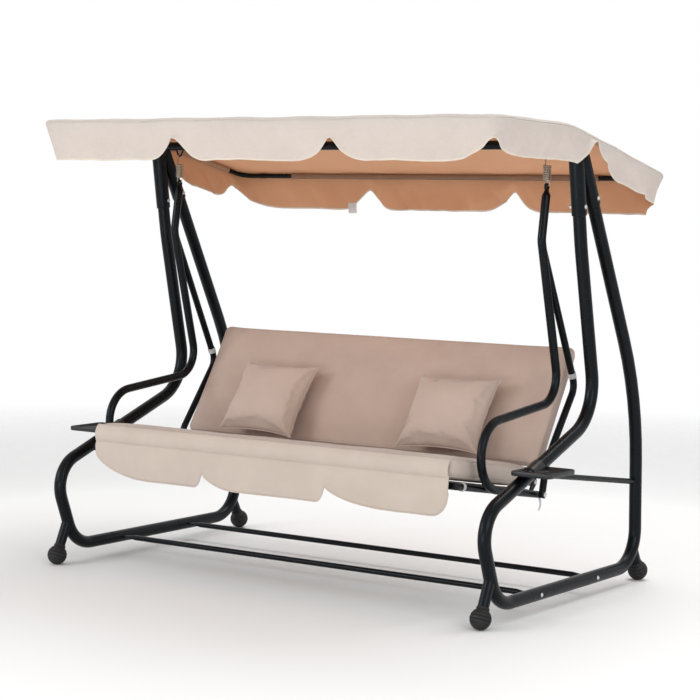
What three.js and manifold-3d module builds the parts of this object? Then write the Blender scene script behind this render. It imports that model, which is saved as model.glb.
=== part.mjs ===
// Garden swing bench for three, with a tilting canopy, side trays and a reclining backrest.
// Millimetres, +Z up, the front faces -Y, origin on the floor under the middle of the bench.
import * as THREE from 'three';
import { mergeVertices } from 'three/addons/utils/BufferGeometryUtils.js';
import Module from 'manifold-3d';

const wasm = await Module();
wasm.setup();

// ---------------------------------------------------------------- driving dimensions
const GAP = 0.3; // between pieces that touch
const ROUND = 8; // sides of a thin round tube
const LEG_ROUND = 12; // sides of the legs and their sleeves

const FRAME_X = 920; // plane of each side frame
const LEG_R = 22.5;
const SPIGOT_R = 19;
const SLEEVE_R = 27;
const BASE_Z = 60; // axis of the base tubes
const FRONT_JOINT_Y = -262; // where the front leg meets the base rail
const REAR_JOINT_Y = 122;
const SPIGOT_LENGTH = 48;
const FRONT_FOOT_Y = -559;
const REAR_FOOT_Y = 530;
const FOOT_R = 36;
const STUB_R = 19; // the short legs under the bends

const CROSSBAR_R = 10;
const FRONT_BAR_Y = -206;
const REAR_BAR_Y = 186;
const BOLT_R = 4;
const BOLT_HEAD_R = 8.5;
const BOLT_HEAD_H = 4;
const HOLE_R = 4.3;

const BEAM_Y = 5; // axis of the top beam, and of the canopy's tilt
const BEAM_Z = 1558;
const BEAM_R = 16;
const BEAM_END = FRAME_X + SLEEVE_R + GAP;
const BRACKET_TOP_Z = 1570;

const ARM_X = 811; // plane of the hanger arms, springs and hooks
const ARM_R = 15;
const HANGER_R = 12.5;
const PIVOT_Z = 1519; // lowest wire of the V hooks, where the bench swings
const HOOK_R = 3;
const SPRING_R = 15;
const SPRING_TOP_Z = 1492;
const SPRING_BOTTOM_Z = 1436;
const SPRING_WIRE_R = 2;
const EYE_Z = 1416;
const EYE_R = 7;

const SEAT_FRONT_Y = -490; // axis of the seat's front rail
const SEAT_FRONT_Z = 441;
const SEAT_TILT = THREE.MathUtils.degToRad(9.3);
const SEAT_RAIL_R = 12.5;
const SEAT_RAIL_X = 781;
const SEAT_DEPTH = 520; // front rail to rear rail
const SEAT_PAD_HALF = 768;
const BACK_PAD_HALF = 781;

const BACK_TILT = THREE.MathUtils.degToRad(31.6);
const BACK_TUBE_R = 11;
const BACK_TUBE_X = 735;
const BACK_HEIGHT = 480; // hinge to top bar
const HINGE_Y = 61;
const HINGE_Z = 393;

const TRAY_TOP_Z = 489;
const TRAY_THICK = 17;
const TRAY_X = [897, 1050];
const TRAY_Y = [-358, -180];

const CANOPY_HALF_WIDTH = 975;
const CANOPY_HALF_DEPTH = 600;
const CANOPY_CORNER_R = 60;
const NOTCH_X = 331; // the notches at a third of the front and rear
const CANOPY_TUBE_R = 9.5;
const CANOPY_TUBE_X = 961;
const CANOPY_TUBE_Y = 585;
const CANOPY_FRONT_Z = 1625; // axis of the front tube
const CANOPY_RIDGE_Y = -100; // where the side tubes bend down towards the rear
const CANOPY_RIDGE_Z = 1611;
const CANOPY_REAR_Z = 1452;
const VALANCE_DROP = 142;
const LEFT_DROPS = [112, 128]; // along the sides, before their notches and behind them
const RIGHT_DROPS = [122, 112];
const VALANCE_TAPER = 20;

// ---------------------------------------------------------------- materials
const finish = (color, roughness, metalness) =>
  new THREE.MeshStandardMaterial({ color, roughness, metalness });
const FRAME_PAINT = () => finish(0x1b1d21, 0.42, 0.35);
const RUBBER = () => finish(0x141414, 0.8, 0);
const BLACK_PLASTIC = () => finish(0x17181a, 0.5, 0);
const STEEL = () => finish(0xb4b6b2, 0.3, 0.9);
const CANOPY_CLOTH = () => finish(0xe3d8ce, 0.9, 0);
const SEAT_CLOTH = () => finish(0xcbb9ac, 0.9, 0);
const SLING_CLOTH = () => finish(0xb09a8a, 0.9, 0);

// ---------------------------------------------------------------- solids
// Shared corners are merged and zero-area triangles dropped, so that a shape closes on itself.
function closed(geometry) {
  const bare = geometry.clone();
  bare.deleteAttribute('normal');
  bare.deleteAttribute('uv');
  const merged = mergeVertices(bare, 1e-3);
  const kept = [];
  const index = merged.index.array;
  for (let i = 0; i < index.length; i += 3) {
    const [a, b, c] = index.slice(i, i + 3);
    if (a !== b && b !== c && a !== c) kept.push(a, b, c);
  }
  merged.setIndex(kept);
  return signedVolume(merged) < 0 ? flipped(merged) : merged;
}

function signedVolume(geometry) {
  const p = geometry.attributes.position;
  const index = geometry.index.array;
  const [a, b, c] = [new THREE.Vector3(), new THREE.Vector3(), new THREE.Vector3()];
  let sum = 0;
  for (let i = 0; i < index.length; i += 3) {
    a.fromBufferAttribute(p, index[i]);
    b.fromBufferAttribute(p, index[i + 1]);
    c.fromBufferAttribute(p, index[i + 2]);
    sum += a.dot(b.cross(c));
  }
  return sum;
}

function flipped(geometry) {
  const index = Array.from(geometry.index.array);
  for (let i = 0; i < index.length; i += 3) [index[i], index[i + 1]] = [index[i + 1], index[i]];
  geometry.setIndex(index);
  return geometry;
}

function toSolid(geometry) {
  const shape = closed(geometry);
  return new wasm.Manifold(new wasm.Mesh({
    numProp: 3,
    vertProperties: new Float32Array(shape.attributes.position.array),
    triVerts: new Uint32Array(shape.index.array),
  }));
}

function toGeometry(solid) {
  const mesh = solid.getMesh();
  const geometry = new THREE.BufferGeometry();
  geometry.setAttribute('position', new THREE.BufferAttribute(mesh.vertProperties, 3));
  geometry.setIndex(Array.from(mesh.triVerts));
  return geometry;
}

const join = (first, ...others) =>
  toGeometry(others.reduce((solid, other) => solid.add(toSolid(other)), toSolid(first)));

const cut = (first, ...tools) =>
  toGeometry(tools.reduce((solid, tool) => solid.subtract(toSolid(tool)), toSolid(first)));

// ---------------------------------------------------------------- tubes
// A bent tube's axis: straight runs joined by arcs, with a station at each end of every arc.
class BentAxis extends THREE.Curve {
  constructor(corners, radii, arcStep = 20) {
    super();
    this.stations = [];
    corners.forEach((corner, i) => {
      const before = corners[i - 1];
      const after = corners[i + 1];
      if (!before) this.add(corner, after.clone().sub(corner).normalize());
      else if (!after) this.add(corner, corner.clone().sub(before).normalize());
      else this.bend(before, corner, after, radii[i - 1], arcStep);
    });
    this.steps = this.stations.length - 1;
  }

  add(point, tangent) {
    this.stations.push({ point, tangent });
  }

  bend(before, corner, after, radius, arcStep) {
    const into = corner.clone().sub(before).normalize();
    const out = after.clone().sub(corner).normalize();
    const turn = into.angleTo(out);
    const start = corner.clone().addScaledVector(into, -radius * Math.tan(turn / 2));
    const inward = out.clone().addScaledVector(into, -into.dot(out)).normalize();
    const centre = start.clone().addScaledVector(inward, radius);
    const count = Math.max(1, Math.ceil(THREE.MathUtils.radToDeg(turn) / arcStep));
    for (let k = 0; k <= count; k += 1) {
      const a = (turn * k) / count;
      const point = centre.clone()
        .addScaledVector(into, radius * Math.sin(a))
        .addScaledVector(inward, -radius * Math.cos(a));
      this.add(point, into.clone().multiplyScalar(Math.cos(a)).addScaledVector(inward, Math.sin(a)));
    }
  }

  getPointAt(u) {
    return this.stations[Math.round(u * this.steps)].point.clone();
  }

  getTangentAt(u) {
    return this.stations[Math.round(u * this.steps)].tangent.clone();
  }
}

function disc(radius, sides) {
  const shape = new THREE.Shape();
  for (let k = 0; k < sides; k += 1) {
    const a = (2 * Math.PI * (k + 0.5)) / sides;
    if (k === 0) shape.moveTo(radius * Math.cos(a), radius * Math.sin(a));
    else shape.lineTo(radius * Math.cos(a), radius * Math.sin(a));
  }
  shape.closePath();
  return shape;
}

const bentTube = (axis, radius, sides = ROUND) =>
  new THREE.ExtrudeGeometry(disc(radius, sides), { extrudePath: axis, steps: axis.steps });

const rod = (from, to, radius, sides = ROUND) => bentTube(new BentAxis([from, to], []), radius, sides);

const { clamp } = THREE.MathUtils;
const at = (x, y, z) => new THREE.Vector3(x, y, z);
const alongX = (x0, x1, y, z, radius, sides) => rod(at(x0, y, z), at(x1, y, z), radius, sides);
const alongY = (x, y0, y1, z, radius, sides) => rod(at(x, y0, z), at(x, y1, z), radius, sides);

// A turned shape about the X axis; each row is [x, radius].
function turnedX(rows, sides = ROUND) {
  const lathe = new THREE.LatheGeometry(rows.map(([x, r]) => new THREE.Vector2(r, x)), sides);
  return lathe.rotateZ(-Math.PI / 2);
}

// A plate with an outline in the YZ plane, from x0 to x1.
function plateX(outline, x0, x1) {
  const plate = new THREE.ExtrudeGeometry(outline, { depth: x1 - x0, bevelEnabled: false, curveSegments: 6 });
  return plate.rotateY(Math.PI / 2).rotateX(Math.PI / 2).translate(x0, 0, 0);
}

// A block between two corners.
function block([x0, y0, z0], [x1, y1, z1]) {
  const box = new THREE.BoxGeometry(x1 - x0, y1 - y0, z1 - z0);
  return box.translate((x0 + x1) / 2, (y0 + y1) / 2, (z0 + z1) / 2);
}

function mesh(name, geometry, material) {
  const made = new THREE.Mesh(closed(geometry), material);
  made.geometry.computeVertexNormals();
  made.name = name;
  return made;
}

// ---------------------------------------------------------------- side frames
// Each side frame is drawn in its own plane, x = 0, and outward is +1 on the right and -1 on the left.
const frontLegAxis = () => new BentAxis([
  at(0, FRONT_JOINT_Y - GAP, BASE_Z),
  at(0, -466, BASE_Z),
  at(0, -577, 353),
  at(0, 182, 631),
  at(0, 55, 1215),
  at(0, 20, 1445),
], [130, 115, 170, 900]);

const rearLegAxis = () => new BentAxis([
  at(0, REAR_JOINT_Y + GAP, BASE_Z),
  at(0, 505, BASE_Z),
  at(0, 491, 670),
  at(0, 89, 1446),
], [130, 1000], 9);

const frontSleeveAxis = () => [at(0, 39, 1320), at(0, 2, 1563)];
const rearSleeveAxis = () => [at(0, 134.6, 1358), at(0, 31, 1558)];

function legBolt(y, z, outward) {
  const outer = SLEEVE_R + GAP;
  return turnedX([
    [outward * (outer + BOLT_HEAD_H), 0],
    [outward * (outer + BOLT_HEAD_H), BOLT_HEAD_R * 0.7],
    [outward * outer, BOLT_HEAD_R],
    [outward * outer, BOLT_R],
    [-outward * outer, BOLT_R],
    [-outward * outer, BOLT_HEAD_R],
    [-outward * (outer + 7), BOLT_HEAD_R],
    [-outward * (outer + 10), BOLT_R],
    [-outward * (outer + 10), 0],
  ], 10).translate(0, y, z);
}

const crossHole = (y, z) => alongX(-SLEEVE_R - 5, SLEEVE_R + 5, y, z, HOLE_R, 10);

const BRACKET_BOLTS = { front: [34.4, 1350], rear: [123, 1380] };

// The short legs that stand under the two bends of each side frame, from top to bottom.
const FRONT_STUB = [at(0, -498, 170), at(0, -555, 45)];
const REAR_STUB = [at(0, 484, 124), at(0, 526, 45)];

function frontLeg(side) {
  const stub = rod(...FRONT_STUB, STUB_R);
  const socket = alongY(0, FRONT_JOINT_Y - SPIGOT_LENGTH - 2, FRONT_JOINT_Y + 1, BASE_Z, SPIGOT_R + GAP);
  const leg = cut(
    join(bentTube(frontLegAxis(), LEG_R, LEG_ROUND), stub),
    socket,
    crossHole(...BRACKET_BOLTS.front),
  );
  return mesh(`${side}_front_leg`, leg, FRAME_PAINT());
}

function rearLeg(side) {
  const stub = rod(...REAR_STUB, STUB_R);
  const spigot = alongY(0, REAR_JOINT_Y - SPIGOT_LENGTH, REAR_JOINT_Y + 5, BASE_Z, SPIGOT_R);
  const leg = cut(
    join(bentTube(rearLegAxis(), LEG_R, LEG_ROUND), stub, spigot),
    crossHole(...BRACKET_BOLTS.rear),
  );
  return mesh(`${side}_rear_leg`, leg, FRAME_PAINT());
}

function baseRail(side) {
  const spigot = alongY(0, FRONT_JOINT_Y - SPIGOT_LENGTH, FRONT_JOINT_Y + 5, BASE_Z, SPIGOT_R);
  const socket = alongY(0, REAR_JOINT_Y - SPIGOT_LENGTH - 2, REAR_JOINT_Y + 1, BASE_Z, SPIGOT_R + GAP);
  const rail = cut(
    join(alongY(0, FRONT_JOINT_Y, REAR_JOINT_Y, BASE_Z, LEG_R, LEG_ROUND), spigot),
    socket,
  );
  return mesh(`${side}_base_rail`, rail, FRAME_PAINT());
}

// The cap that joins both legs: two sleeves that meet round the top beam.
function topBracket(side) {
  const [frontLow, frontTop] = frontSleeveAxis();
  const [rearLow, rearTop] = rearSleeveAxis();
  const above = block([-60, -80, BRACKET_TOP_Z], [60, 120, BRACKET_TOP_Z + 60]);
  const frontBore = rod(at(0, 44, 1287), at(0, 19.5, 1448), LEG_R + GAP, LEG_ROUND);
  const rearBore = rod(at(0, 154, 1320.6), at(0, 87.6, 1448.7), LEG_R + GAP, LEG_ROUND);
  const bracket = cut(
    join(rod(frontLow, frontTop, SLEEVE_R, LEG_ROUND), rod(rearLow, rearTop, SLEEVE_R, LEG_ROUND)),
    frontBore,
    rearBore,
    above,
    alongX(-60, 60, BEAM_Y, BEAM_Z, BEAM_R + GAP),
    crossHole(...BRACKET_BOLTS.front),
    crossHole(...BRACKET_BOLTS.rear),
  );
  return mesh(`${side}_top_bracket`, bracket, FRAME_PAINT());
}

// Ribbed ball of rubber with a flat sole, pushed on to its stub.
function footCap(name, y, stub) {
  const [top, low] = stub;
  const beyond = low.clone().sub(top).setLength(GAP).add(low);
  const profile = [[0, 0], [21, 0], [31, 9], [FOOT_R, 25], [FOOT_R, 42], [31, 55], [22, 66], [0, 68]];
  const ball = new THREE.LatheGeometry(profile.map(([r, z]) => new THREE.Vector2(r, z)), 14);
  ball.rotateX(Math.PI / 2).translate(0, y, 0);
  return mesh(name, cut(ball, rod(top, beyond, STUB_R + GAP)), RUBBER());
}

// The thin tube under each tray runs from the rear leg forward and up to the front leg.
const TRAY_ARM_R = 10;
const TRAY_ARM_REAR = [494 - LEG_R - GAP, 362];
const TRAY_ARM_FRONT = [-206, 462];

function trayArm(side) {
  const arm = cut(
    rod(at(0, ...TRAY_ARM_REAR), at(0, ...TRAY_ARM_FRONT), TRAY_ARM_R),
    bentTube(frontLegAxis(), LEG_R + GAP, LEG_ROUND),
    bentTube(rearLegAxis(), LEG_R + GAP, LEG_ROUND),
  );
  return mesh(`${side}_tray_arm`, arm, FRAME_PAINT());
}

function roundedRect(x0, y0, x1, y1, r) {
  const shape = new THREE.Shape();
  shape.moveTo(x0 + r, y0);
  shape.lineTo(x1 - r, y0);
  shape.absarc(x1 - r, y0 + r, r, -Math.PI / 2, 0);
  shape.lineTo(x1, y1 - r);
  shape.absarc(x1 - r, y1 - r, r, 0, Math.PI / 2);
  shape.lineTo(x0 + r, y1);
  shape.absarc(x0 + r, y1 - r, r, Math.PI / 2, Math.PI);
  shape.lineTo(x0, y0 + r);
  shape.absarc(x0 + r, y0 + r, r, Math.PI, 1.5 * Math.PI);
  return shape;
}

// The tray stands round the front leg, with a raised rim and a sunken round for a cup.
function tray(side, outward) {
  const inner = TRAY_X[0] - FRAME_X;
  const outer = TRAY_X[1] - FRAME_X;
  const [x0, x1] = outward > 0 ? [inner, outer] : [-outer, -inner];
  const options = { depth: TRAY_THICK, bevelEnabled: false, curveSegments: 4 };
  const slab = new THREE.ExtrudeGeometry(roundedRect(x0, TRAY_Y[0], x1, TRAY_Y[1], 18), options);
  const recess = new THREE.ExtrudeGeometry(
    roundedRect(x0 + 7, TRAY_Y[0] + 7, x1 - 7, TRAY_Y[1] - 7, 12),
    { ...options, depth: TRAY_THICK },
  );
  const made = cut(
    slab.translate(0, 0, TRAY_TOP_Z - TRAY_THICK),
    recess.translate(0, 0, TRAY_TOP_Z - 8),
    bentTube(frontLegAxis(), LEG_R + 1, LEG_ROUND),
  );
  return mesh(`${side}_tray`, made, BLACK_PLASTIC());
}

function sideFrame(side, outward) {
  const frame = new THREE.Group();
  frame.position.x = outward * FRAME_X;
  frame.add(
    frontLeg(side),
    rearLeg(side),
    baseRail(side),
    topBracket(side),
    footCap(`${side}_front_foot`, FRONT_FOOT_Y, FRONT_STUB),
    footCap(`${side}_rear_foot`, REAR_FOOT_Y, REAR_STUB),
    mesh(`${side}_front_leg_bolt`, legBolt(...BRACKET_BOLTS.front, outward), STEEL()),
    mesh(`${side}_rear_leg_bolt`, legBolt(...BRACKET_BOLTS.rear, outward), STEEL()),
    trayArm(side),
    tray(side, outward),
  );
  return frame;
}

// ---------------------------------------------------------------- bars between the side frames
function crossbar(name, y) {
  const half = FRAME_X - LEG_R - GAP;
  return mesh(name, alongX(-half, half, y, BASE_Z, CROSSBAR_R), FRAME_PAINT());
}

function topBeam() {
  const studHole = (x0, x1) => alongX(x0, x1, BEAM_Y, BEAM_Z, HOLE_R, 10);
  const beam = cut(
    alongX(-BEAM_END, BEAM_END, BEAM_Y, BEAM_Z, BEAM_R),
    studHole(-BEAM_END - 1, -FRAME_X + 10),
    studHole(FRAME_X - 10, BEAM_END + 1),
  );
  return mesh('top_beam', beam, FRAME_PAINT());
}

// A wire V under the beam, in which the spring's hook swings.
function hangerEye(side, x) {
  const top = BEAM_Z - BEAM_R + 4;
  const point = PIVOT_Z - 9.5; // the sharp corner that the bend of the V rounds off
  const axis = new BentAxis(
    [at(x - 18, BEAM_Y, top), at(x, BEAM_Y, point), at(x + 18, BEAM_Y, top)], [8], 30,
  );
  const eye = cut(
    bentTube(axis, HOOK_R, 8),
    alongX(x - 60, x + 60, BEAM_Y, BEAM_Z, BEAM_R + GAP),
  );
  return mesh(`${side}_hanger_eye`, eye, FRAME_PAINT());
}

// ---------------------------------------------------------------- swinging bench
function spring(side, x) {
  const hookTop = PIVOT_Z + HOOK_R + 1.2 + SPRING_WIRE_R;
  const reach = 8;
  const upper = new BentAxis([
    at(x, BEAM_Y - reach, SPRING_TOP_Z - 4),
    at(x, BEAM_Y - reach, hookTop),
    at(x, BEAM_Y + reach, hookTop),
    at(x, BEAM_Y + reach, PIVOT_Z - 8),
  ], [reach * 0.98, reach * 0.98], 30);
  const hookLow = EYE_Z + EYE_R - 1 - SPRING_WIRE_R;
  const lower = new BentAxis([
    at(x + 10, BEAM_Y, SPRING_BOTTOM_Z + 4),
    at(x + 10, BEAM_Y, hookLow),
    at(x - 10, BEAM_Y, hookLow),
    at(x - 10, BEAM_Y, hookLow + 10),
  ], [5, 5], 30);
  const coil = rod(at(x, BEAM_Y, SPRING_BOTTOM_Z), at(x, BEAM_Y, SPRING_TOP_Z), SPRING_R);
  const made = join(coil, bentTube(upper, SPRING_WIRE_R, 6), bentTube(lower, SPRING_WIRE_R, 6));
  return mesh(`${side}_spring`, made, STEEL());
}

const armAxis = (x) => new BentAxis([
  at(x, 2, 1386),
  at(x, -24, 1235),
  at(x, 121, 681),
  at(x, -393, 633),
  at(x, -393, 426.3),
  at(x, -205, 395.5),
], [70, 95, 117, 117]);

function hangerArm(side, outward) {
  const x = outward * ARM_X;
  const tip = new THREE.Shape();
  tip.moveTo(-13, 1378);
  tip.lineTo(17, 1378);
  tip.lineTo(BEAM_Y + 13, EYE_Z);
  tip.absarc(BEAM_Y, EYE_Z, 13, 0, Math.PI);
  tip.lineTo(BEAM_Y - 13, EYE_Z);
  const arm = cut(
    join(bentTube(armAxis(x), ARM_R), plateX(tip, x - 4, x + 4)),
    alongX(x - 10, x + 10, BEAM_Y, EYE_Z, EYE_R),
  );
  return mesh(`${side}_hanger_arm`, arm, FRAME_PAINT());
}

const hangerAxis = (x) => new BentAxis([
  at(x, -14.9, 1212),
  at(x, 230, 717),
  at(x, 38, 466),
  at(x, 10, 348),
], [55, 60]);

function rearHanger(side, outward) {
  const x = outward * ARM_X;
  const hanger = cut(bentTube(hangerAxis(x), HANGER_R), bentTube(armAxis(x), ARM_R + GAP));
  return mesh(`${side}_rear_hanger`, hanger, FRAME_PAINT());
}

// The seat group lies on the tilted seat: y runs back from the front rail and z up from it.
function seatGroup() {
  const seat = new THREE.Group();
  seat.position.set(0, SEAT_FRONT_Y, SEAT_FRONT_Z);
  seat.rotation.x = -SEAT_TILT;
  return seat;
}

// From the world's YZ plane to the seat's.
function onSeat(y, z) {
  const dy = y - SEAT_FRONT_Y;
  const dz = z - SEAT_FRONT_Z;
  const [c, s] = [Math.cos(SEAT_TILT), Math.sin(SEAT_TILT)];
  return [dy * c - dz * s, dy * s + dz * c];
}

function seatRails() {
  const inner = SEAT_RAIL_X - SEAT_RAIL_R - GAP;
  const rails = [
    mesh('seat_front_rail', alongX(-inner, inner, 0, 0, SEAT_RAIL_R), FRAME_PAINT()),
    mesh('seat_rear_rail', alongX(-inner, inner, SEAT_DEPTH, 0, SEAT_RAIL_R), FRAME_PAINT()),
  ];
  for (const [side, s] of [['left', -1], ['right', 1]]) {
    const rail = alongY(s * SEAT_RAIL_X, -SEAT_RAIL_R, SEAT_DEPTH + SEAT_RAIL_R, 0, SEAT_RAIL_R);
    rails.push(mesh(`seat_${side}_rail`, rail, FRAME_PAINT()));
  }
  const reach = SEAT_RAIL_R + GAP;
  rails.push(mesh('seat_support', alongY(0, reach, SEAT_DEPTH - reach, -3, 8), FRAME_PAINT()));
  return rails;
}

// Lug on the rear rail that carries the backrest's hinge pin.
const LUG_X = [750, 755];

function hingeLug(side, outward) {
  const [hingeY, hingeZ] = onSeat(HINGE_Y, HINGE_Z);
  const reach = 13;
  const outline = new THREE.Shape();
  outline.moveTo(SEAT_DEPTH - 2, 6);
  outline.lineTo(SEAT_DEPTH + 12, -6);
  outline.lineTo(SEAT_DEPTH + 19, 4);
  outline.lineTo(hingeY + reach * 0.8, hingeZ - reach * 0.6);
  outline.absarc(hingeY, hingeZ, reach, -0.64, 2.5);
  const [x0, x1] = outward > 0 ? LUG_X : [-LUG_X[1], -LUG_X[0]];
  const lug = cut(
    plateX(outline, x0, x1),
    alongX(x0 - 5, x1 + 5, SEAT_DEPTH, 0, SEAT_RAIL_R + GAP),
    alongX(x0 - 5, x1 + 5, hingeY, hingeZ, HOLE_R, 10),
  );
  return mesh(`${side}_recline_lug`, lug, FRAME_PAINT());
}

function reclinePin(side, outward) {
  const tail = BACK_TUBE_X - BACK_TUBE_R - 2;
  const pin = turnedX([
    [outward * (LUG_X[1] + GAP + 4), 0],
    [outward * (LUG_X[1] + GAP + 4), 7],
    [outward * (LUG_X[1] + GAP), 7],
    [outward * (LUG_X[1] + GAP), BOLT_R],
    [outward * tail, BOLT_R],
    [outward * tail, 0],
  ], 10);
  return mesh(`${side}_recline_pin`, pin.translate(0, HINGE_Y, HINGE_Z), STEEL());
}

// A pad whose section in the YZ plane is a rectangle with round corners.
function pad(halfWidth, y0, z0, y1, z1, corner) {
  return plateX(roundedRect(y0, z0, y1, z1, corner), -halfWidth, halfWidth);
}

const SEAT_SLING_Z = [SEAT_RAIL_R + GAP, SEAT_RAIL_R + GAP + 2.5];
const SEAT_PAD = { y: [-22, 491], z: [SEAT_SLING_Z[1] + GAP, 102] };

function seatSoftParts() {
  const sling = block([-745, -6, SEAT_SLING_Z[0]], [745, SEAT_DEPTH + 6, SEAT_SLING_Z[1]]);
  const cushion = pad(
    SEAT_PAD_HALF, SEAT_PAD.y[0], SEAT_PAD.z[0], SEAT_PAD.y[1], SEAT_PAD.z[1], 26,
  );
  return [mesh('seat_sling', sling, SLING_CLOTH()), mesh('seat_cushion', cushion, SEAT_CLOTH())];
}

// The scalloped skirt in front of the seat hangs straight down.
const SKIRT = { half: 765, top: 532, low: 342, y: -518, thick: 3 };
// Each scallop of the skirt: where it starts and ends, how far its ends stay above the lowest line,
// and the shares of it that its fall and its last bend take.
const SCALLOPS = [
  { from: -SKIRT.half, to: -268, rise: [95, 66], fall: 0.52, bend: 0.07 },
  { from: -268, to: 268, rise: [66, 66], fall: 0.28, bend: 0.07 },
  { from: 268, to: SKIRT.half, rise: [66, 78], fall: 0.52, bend: 0.13 },
];

// Each scallop falls quickly from its left end, runs on gently and comes up short at its right.
function skirtLow(x) {
  const { from, to, rise, fall, bend } = SCALLOPS.find((scallop) => x <= scallop.to) ?? SCALLOPS.at(-1);
  const u = (x - from) / (to - from);
  const gentle = 1 - Math.sin((Math.min(1, u / fall) * Math.PI) / 2) ** 0.48;
  const short = 1 - Math.sqrt(Math.max(0, 1 - (Math.max(0, u - 1 + bend) / bend) ** 2));
  return SKIRT.low + Math.max(rise[0] * gentle, rise[1] * short);
}

function seatSkirt() {
  const { half, top, y, thick } = SKIRT;
  const steps = 90;
  const shape = new THREE.Shape();
  shape.moveTo(half, top);
  shape.lineTo(-half, top);
  for (let k = 0; k <= steps; k += 1) {
    const x = -half + (2 * half * k) / steps;
    shape.lineTo(x, skirtLow(x));
  }
  const skirt = new THREE.ExtrudeGeometry(shape, { depth: thick, bevelEnabled: false });
  skirt.rotateX(Math.PI / 2).translate(0, y + thick, 0);
  return mesh('seat_skirt', skirt, SEAT_CLOTH());
}

// The backrest group stands on the hinge: z runs up the backrest and y is its rear side.
function backrestFrame() {
  const parts = [];
  const bend = 60;
  for (const [side, s] of [['left', -1], ['right', 1]]) {
    const axis = new BentAxis([
      at(s * BACK_TUBE_X, 0, -13),
      at(s * BACK_TUBE_X, 0, BACK_HEIGHT),
      at(s * (BACK_TUBE_X - 2 * bend), 0, BACK_HEIGHT),
    ], [bend]);
    const bore = alongX(s * BACK_TUBE_X - 30, s * BACK_TUBE_X + 30, 0, 0, HOLE_R, 10);
    parts.push(mesh(`backrest_${side}_tube`, cut(bentTube(axis, BACK_TUBE_R), bore), FRAME_PAINT()));
  }
  const top = BACK_TUBE_X - 2 * bend - GAP;
  const low = BACK_TUBE_X - BACK_TUBE_R - GAP;
  parts.push(mesh('backrest_top_bar', alongX(-top, top, 0, BACK_HEIGHT, BACK_TUBE_R), FRAME_PAINT()));
  parts.push(mesh('backrest_lower_bar', alongX(-low, low, 0, 45, 8), FRAME_PAINT()));
  return parts;
}

const BACK_SLING_Y = -BACK_TUBE_R - GAP;
const BACK_PAD = { y: [-79, BACK_SLING_Y - 2.5 - GAP], z: [40, 503] };

// A square scatter cushion in the XZ plane: thick in the middle and thin at its seam.
function pillow(halfWidth, halfHeight, thickness, cells = 8) {
  const points = [];
  const faces = [];
  const swell = (t) => Math.sqrt(Math.max(0, 1 - t * t));
  const span = cells + 1;
  for (const face of [-1, 1]) {
    for (let i = 0; i <= cells; i += 1) {
      for (let j = 0; j <= cells; j += 1) {
        const u = Math.sin((Math.PI / 2) * ((2 * i) / cells - 1));
        const v = Math.sin((Math.PI / 2) * ((2 * j) / cells - 1));
        const waistX = 1 - 0.07 * (1 - v * v);
        const waistZ = 1 - 0.07 * (1 - u * u);
        const height = (thickness / 2) * swell(u) * swell(v);
        points.push(halfWidth * u * waistX, face * height, halfHeight * v * waistZ);
      }
    }
  }
  const add = (a, b, c, d, face) => {
    if (face < 0) faces.push(a, b, c, a, c, d);
    else faces.push(a, c, b, a, d, c);
  };
  for (const [offset, face] of [[0, -1], [span * span, 1]]) {
    for (let i = 0; i < cells; i += 1) {
      for (let j = 0; j < cells; j += 1) {
        const a = offset + i * span + j;
        add(a, a + span, a + span + 1, a + 1, face);
      }
    }
  }
  const geometry = new THREE.BufferGeometry();
  geometry.setAttribute('position', new THREE.Float32BufferAttribute(points, 3));
  geometry.setIndex(faces);
  return geometry;
}

const PILLOW_HALF = [172, 152];
const PILLOW_THICK = 130;
const PILLOW_PLACE = { y: -145.5, z: 166.5, tilt: -0.05 };
const PILLOWS = [
  { side: 'left', x: -384, roll: 0.022 },
  { side: 'right', x: 416, roll: -0.01 },
];

function backrestSoftParts() {
  const sling = block([-BACK_TUBE_X, BACK_SLING_Y - 2.5, 60], [BACK_TUBE_X, BACK_SLING_Y, 462]);
  const cushion = pad(BACK_PAD_HALF, BACK_PAD.y[0], BACK_PAD.z[0], BACK_PAD.y[1], BACK_PAD.z[1], 20);
  const parts = [
    mesh('backrest_sling', sling, SLING_CLOTH()),
    mesh('backrest_cushion', cushion, SEAT_CLOTH()),
  ];
  for (const { side, x, roll } of PILLOWS) {
    const made = mesh(`${side}_pillow`, pillow(...PILLOW_HALF, PILLOW_THICK), SEAT_CLOTH());
    made.position.set(x, PILLOW_PLACE.y, PILLOW_PLACE.z);
    made.rotation.set(PILLOW_PLACE.tilt, roll, 0);
    parts.push(made);
  }
  return parts;
}

function bench() {
  const parts = new THREE.Group();
  const seat = seatGroup();
  const back = new THREE.Group();
  back.position.set(0, HINGE_Y, HINGE_Z);
  back.rotation.x = -BACK_TILT;
  for (const [side, outward] of [['left', -1], ['right', 1]]) {
    parts.add(
      spring(side, outward * ARM_X),
      hangerArm(side, outward),
      rearHanger(side, outward),
      reclinePin(side, outward),
    );
    seat.add(hingeLug(side, outward));
  }
  seat.add(...seatRails(), ...seatSoftParts());
  back.add(...backrestFrame(), ...backrestSoftParts());
  parts.add(seat, back, seatSkirt());
  return parts;
}

// ---------------------------------------------------------------- canopy
// Height of the side tubes' axis along the depth: level at the front, then down to the rear.
function tubeHeight(y) {
  const frontSlope = (CANOPY_RIDGE_Z - CANOPY_FRONT_Z) / (CANOPY_RIDGE_Y + CANOPY_TUBE_Y);
  const rearSlope = (CANOPY_REAR_Z - CANOPY_RIDGE_Z) / (CANOPY_TUBE_Y - CANOPY_RIDGE_Y);
  const front = CANOPY_RIDGE_Z + frontSlope * (y - CANOPY_RIDGE_Y);
  const rear = CANOPY_RIDGE_Z + rearSlope * (y - CANOPY_RIDGE_Y);
  const blendHeight = 4;
  return (front + rear) / 2 - Math.hypot((front - rear) / 2, blendHeight);
}

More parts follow.
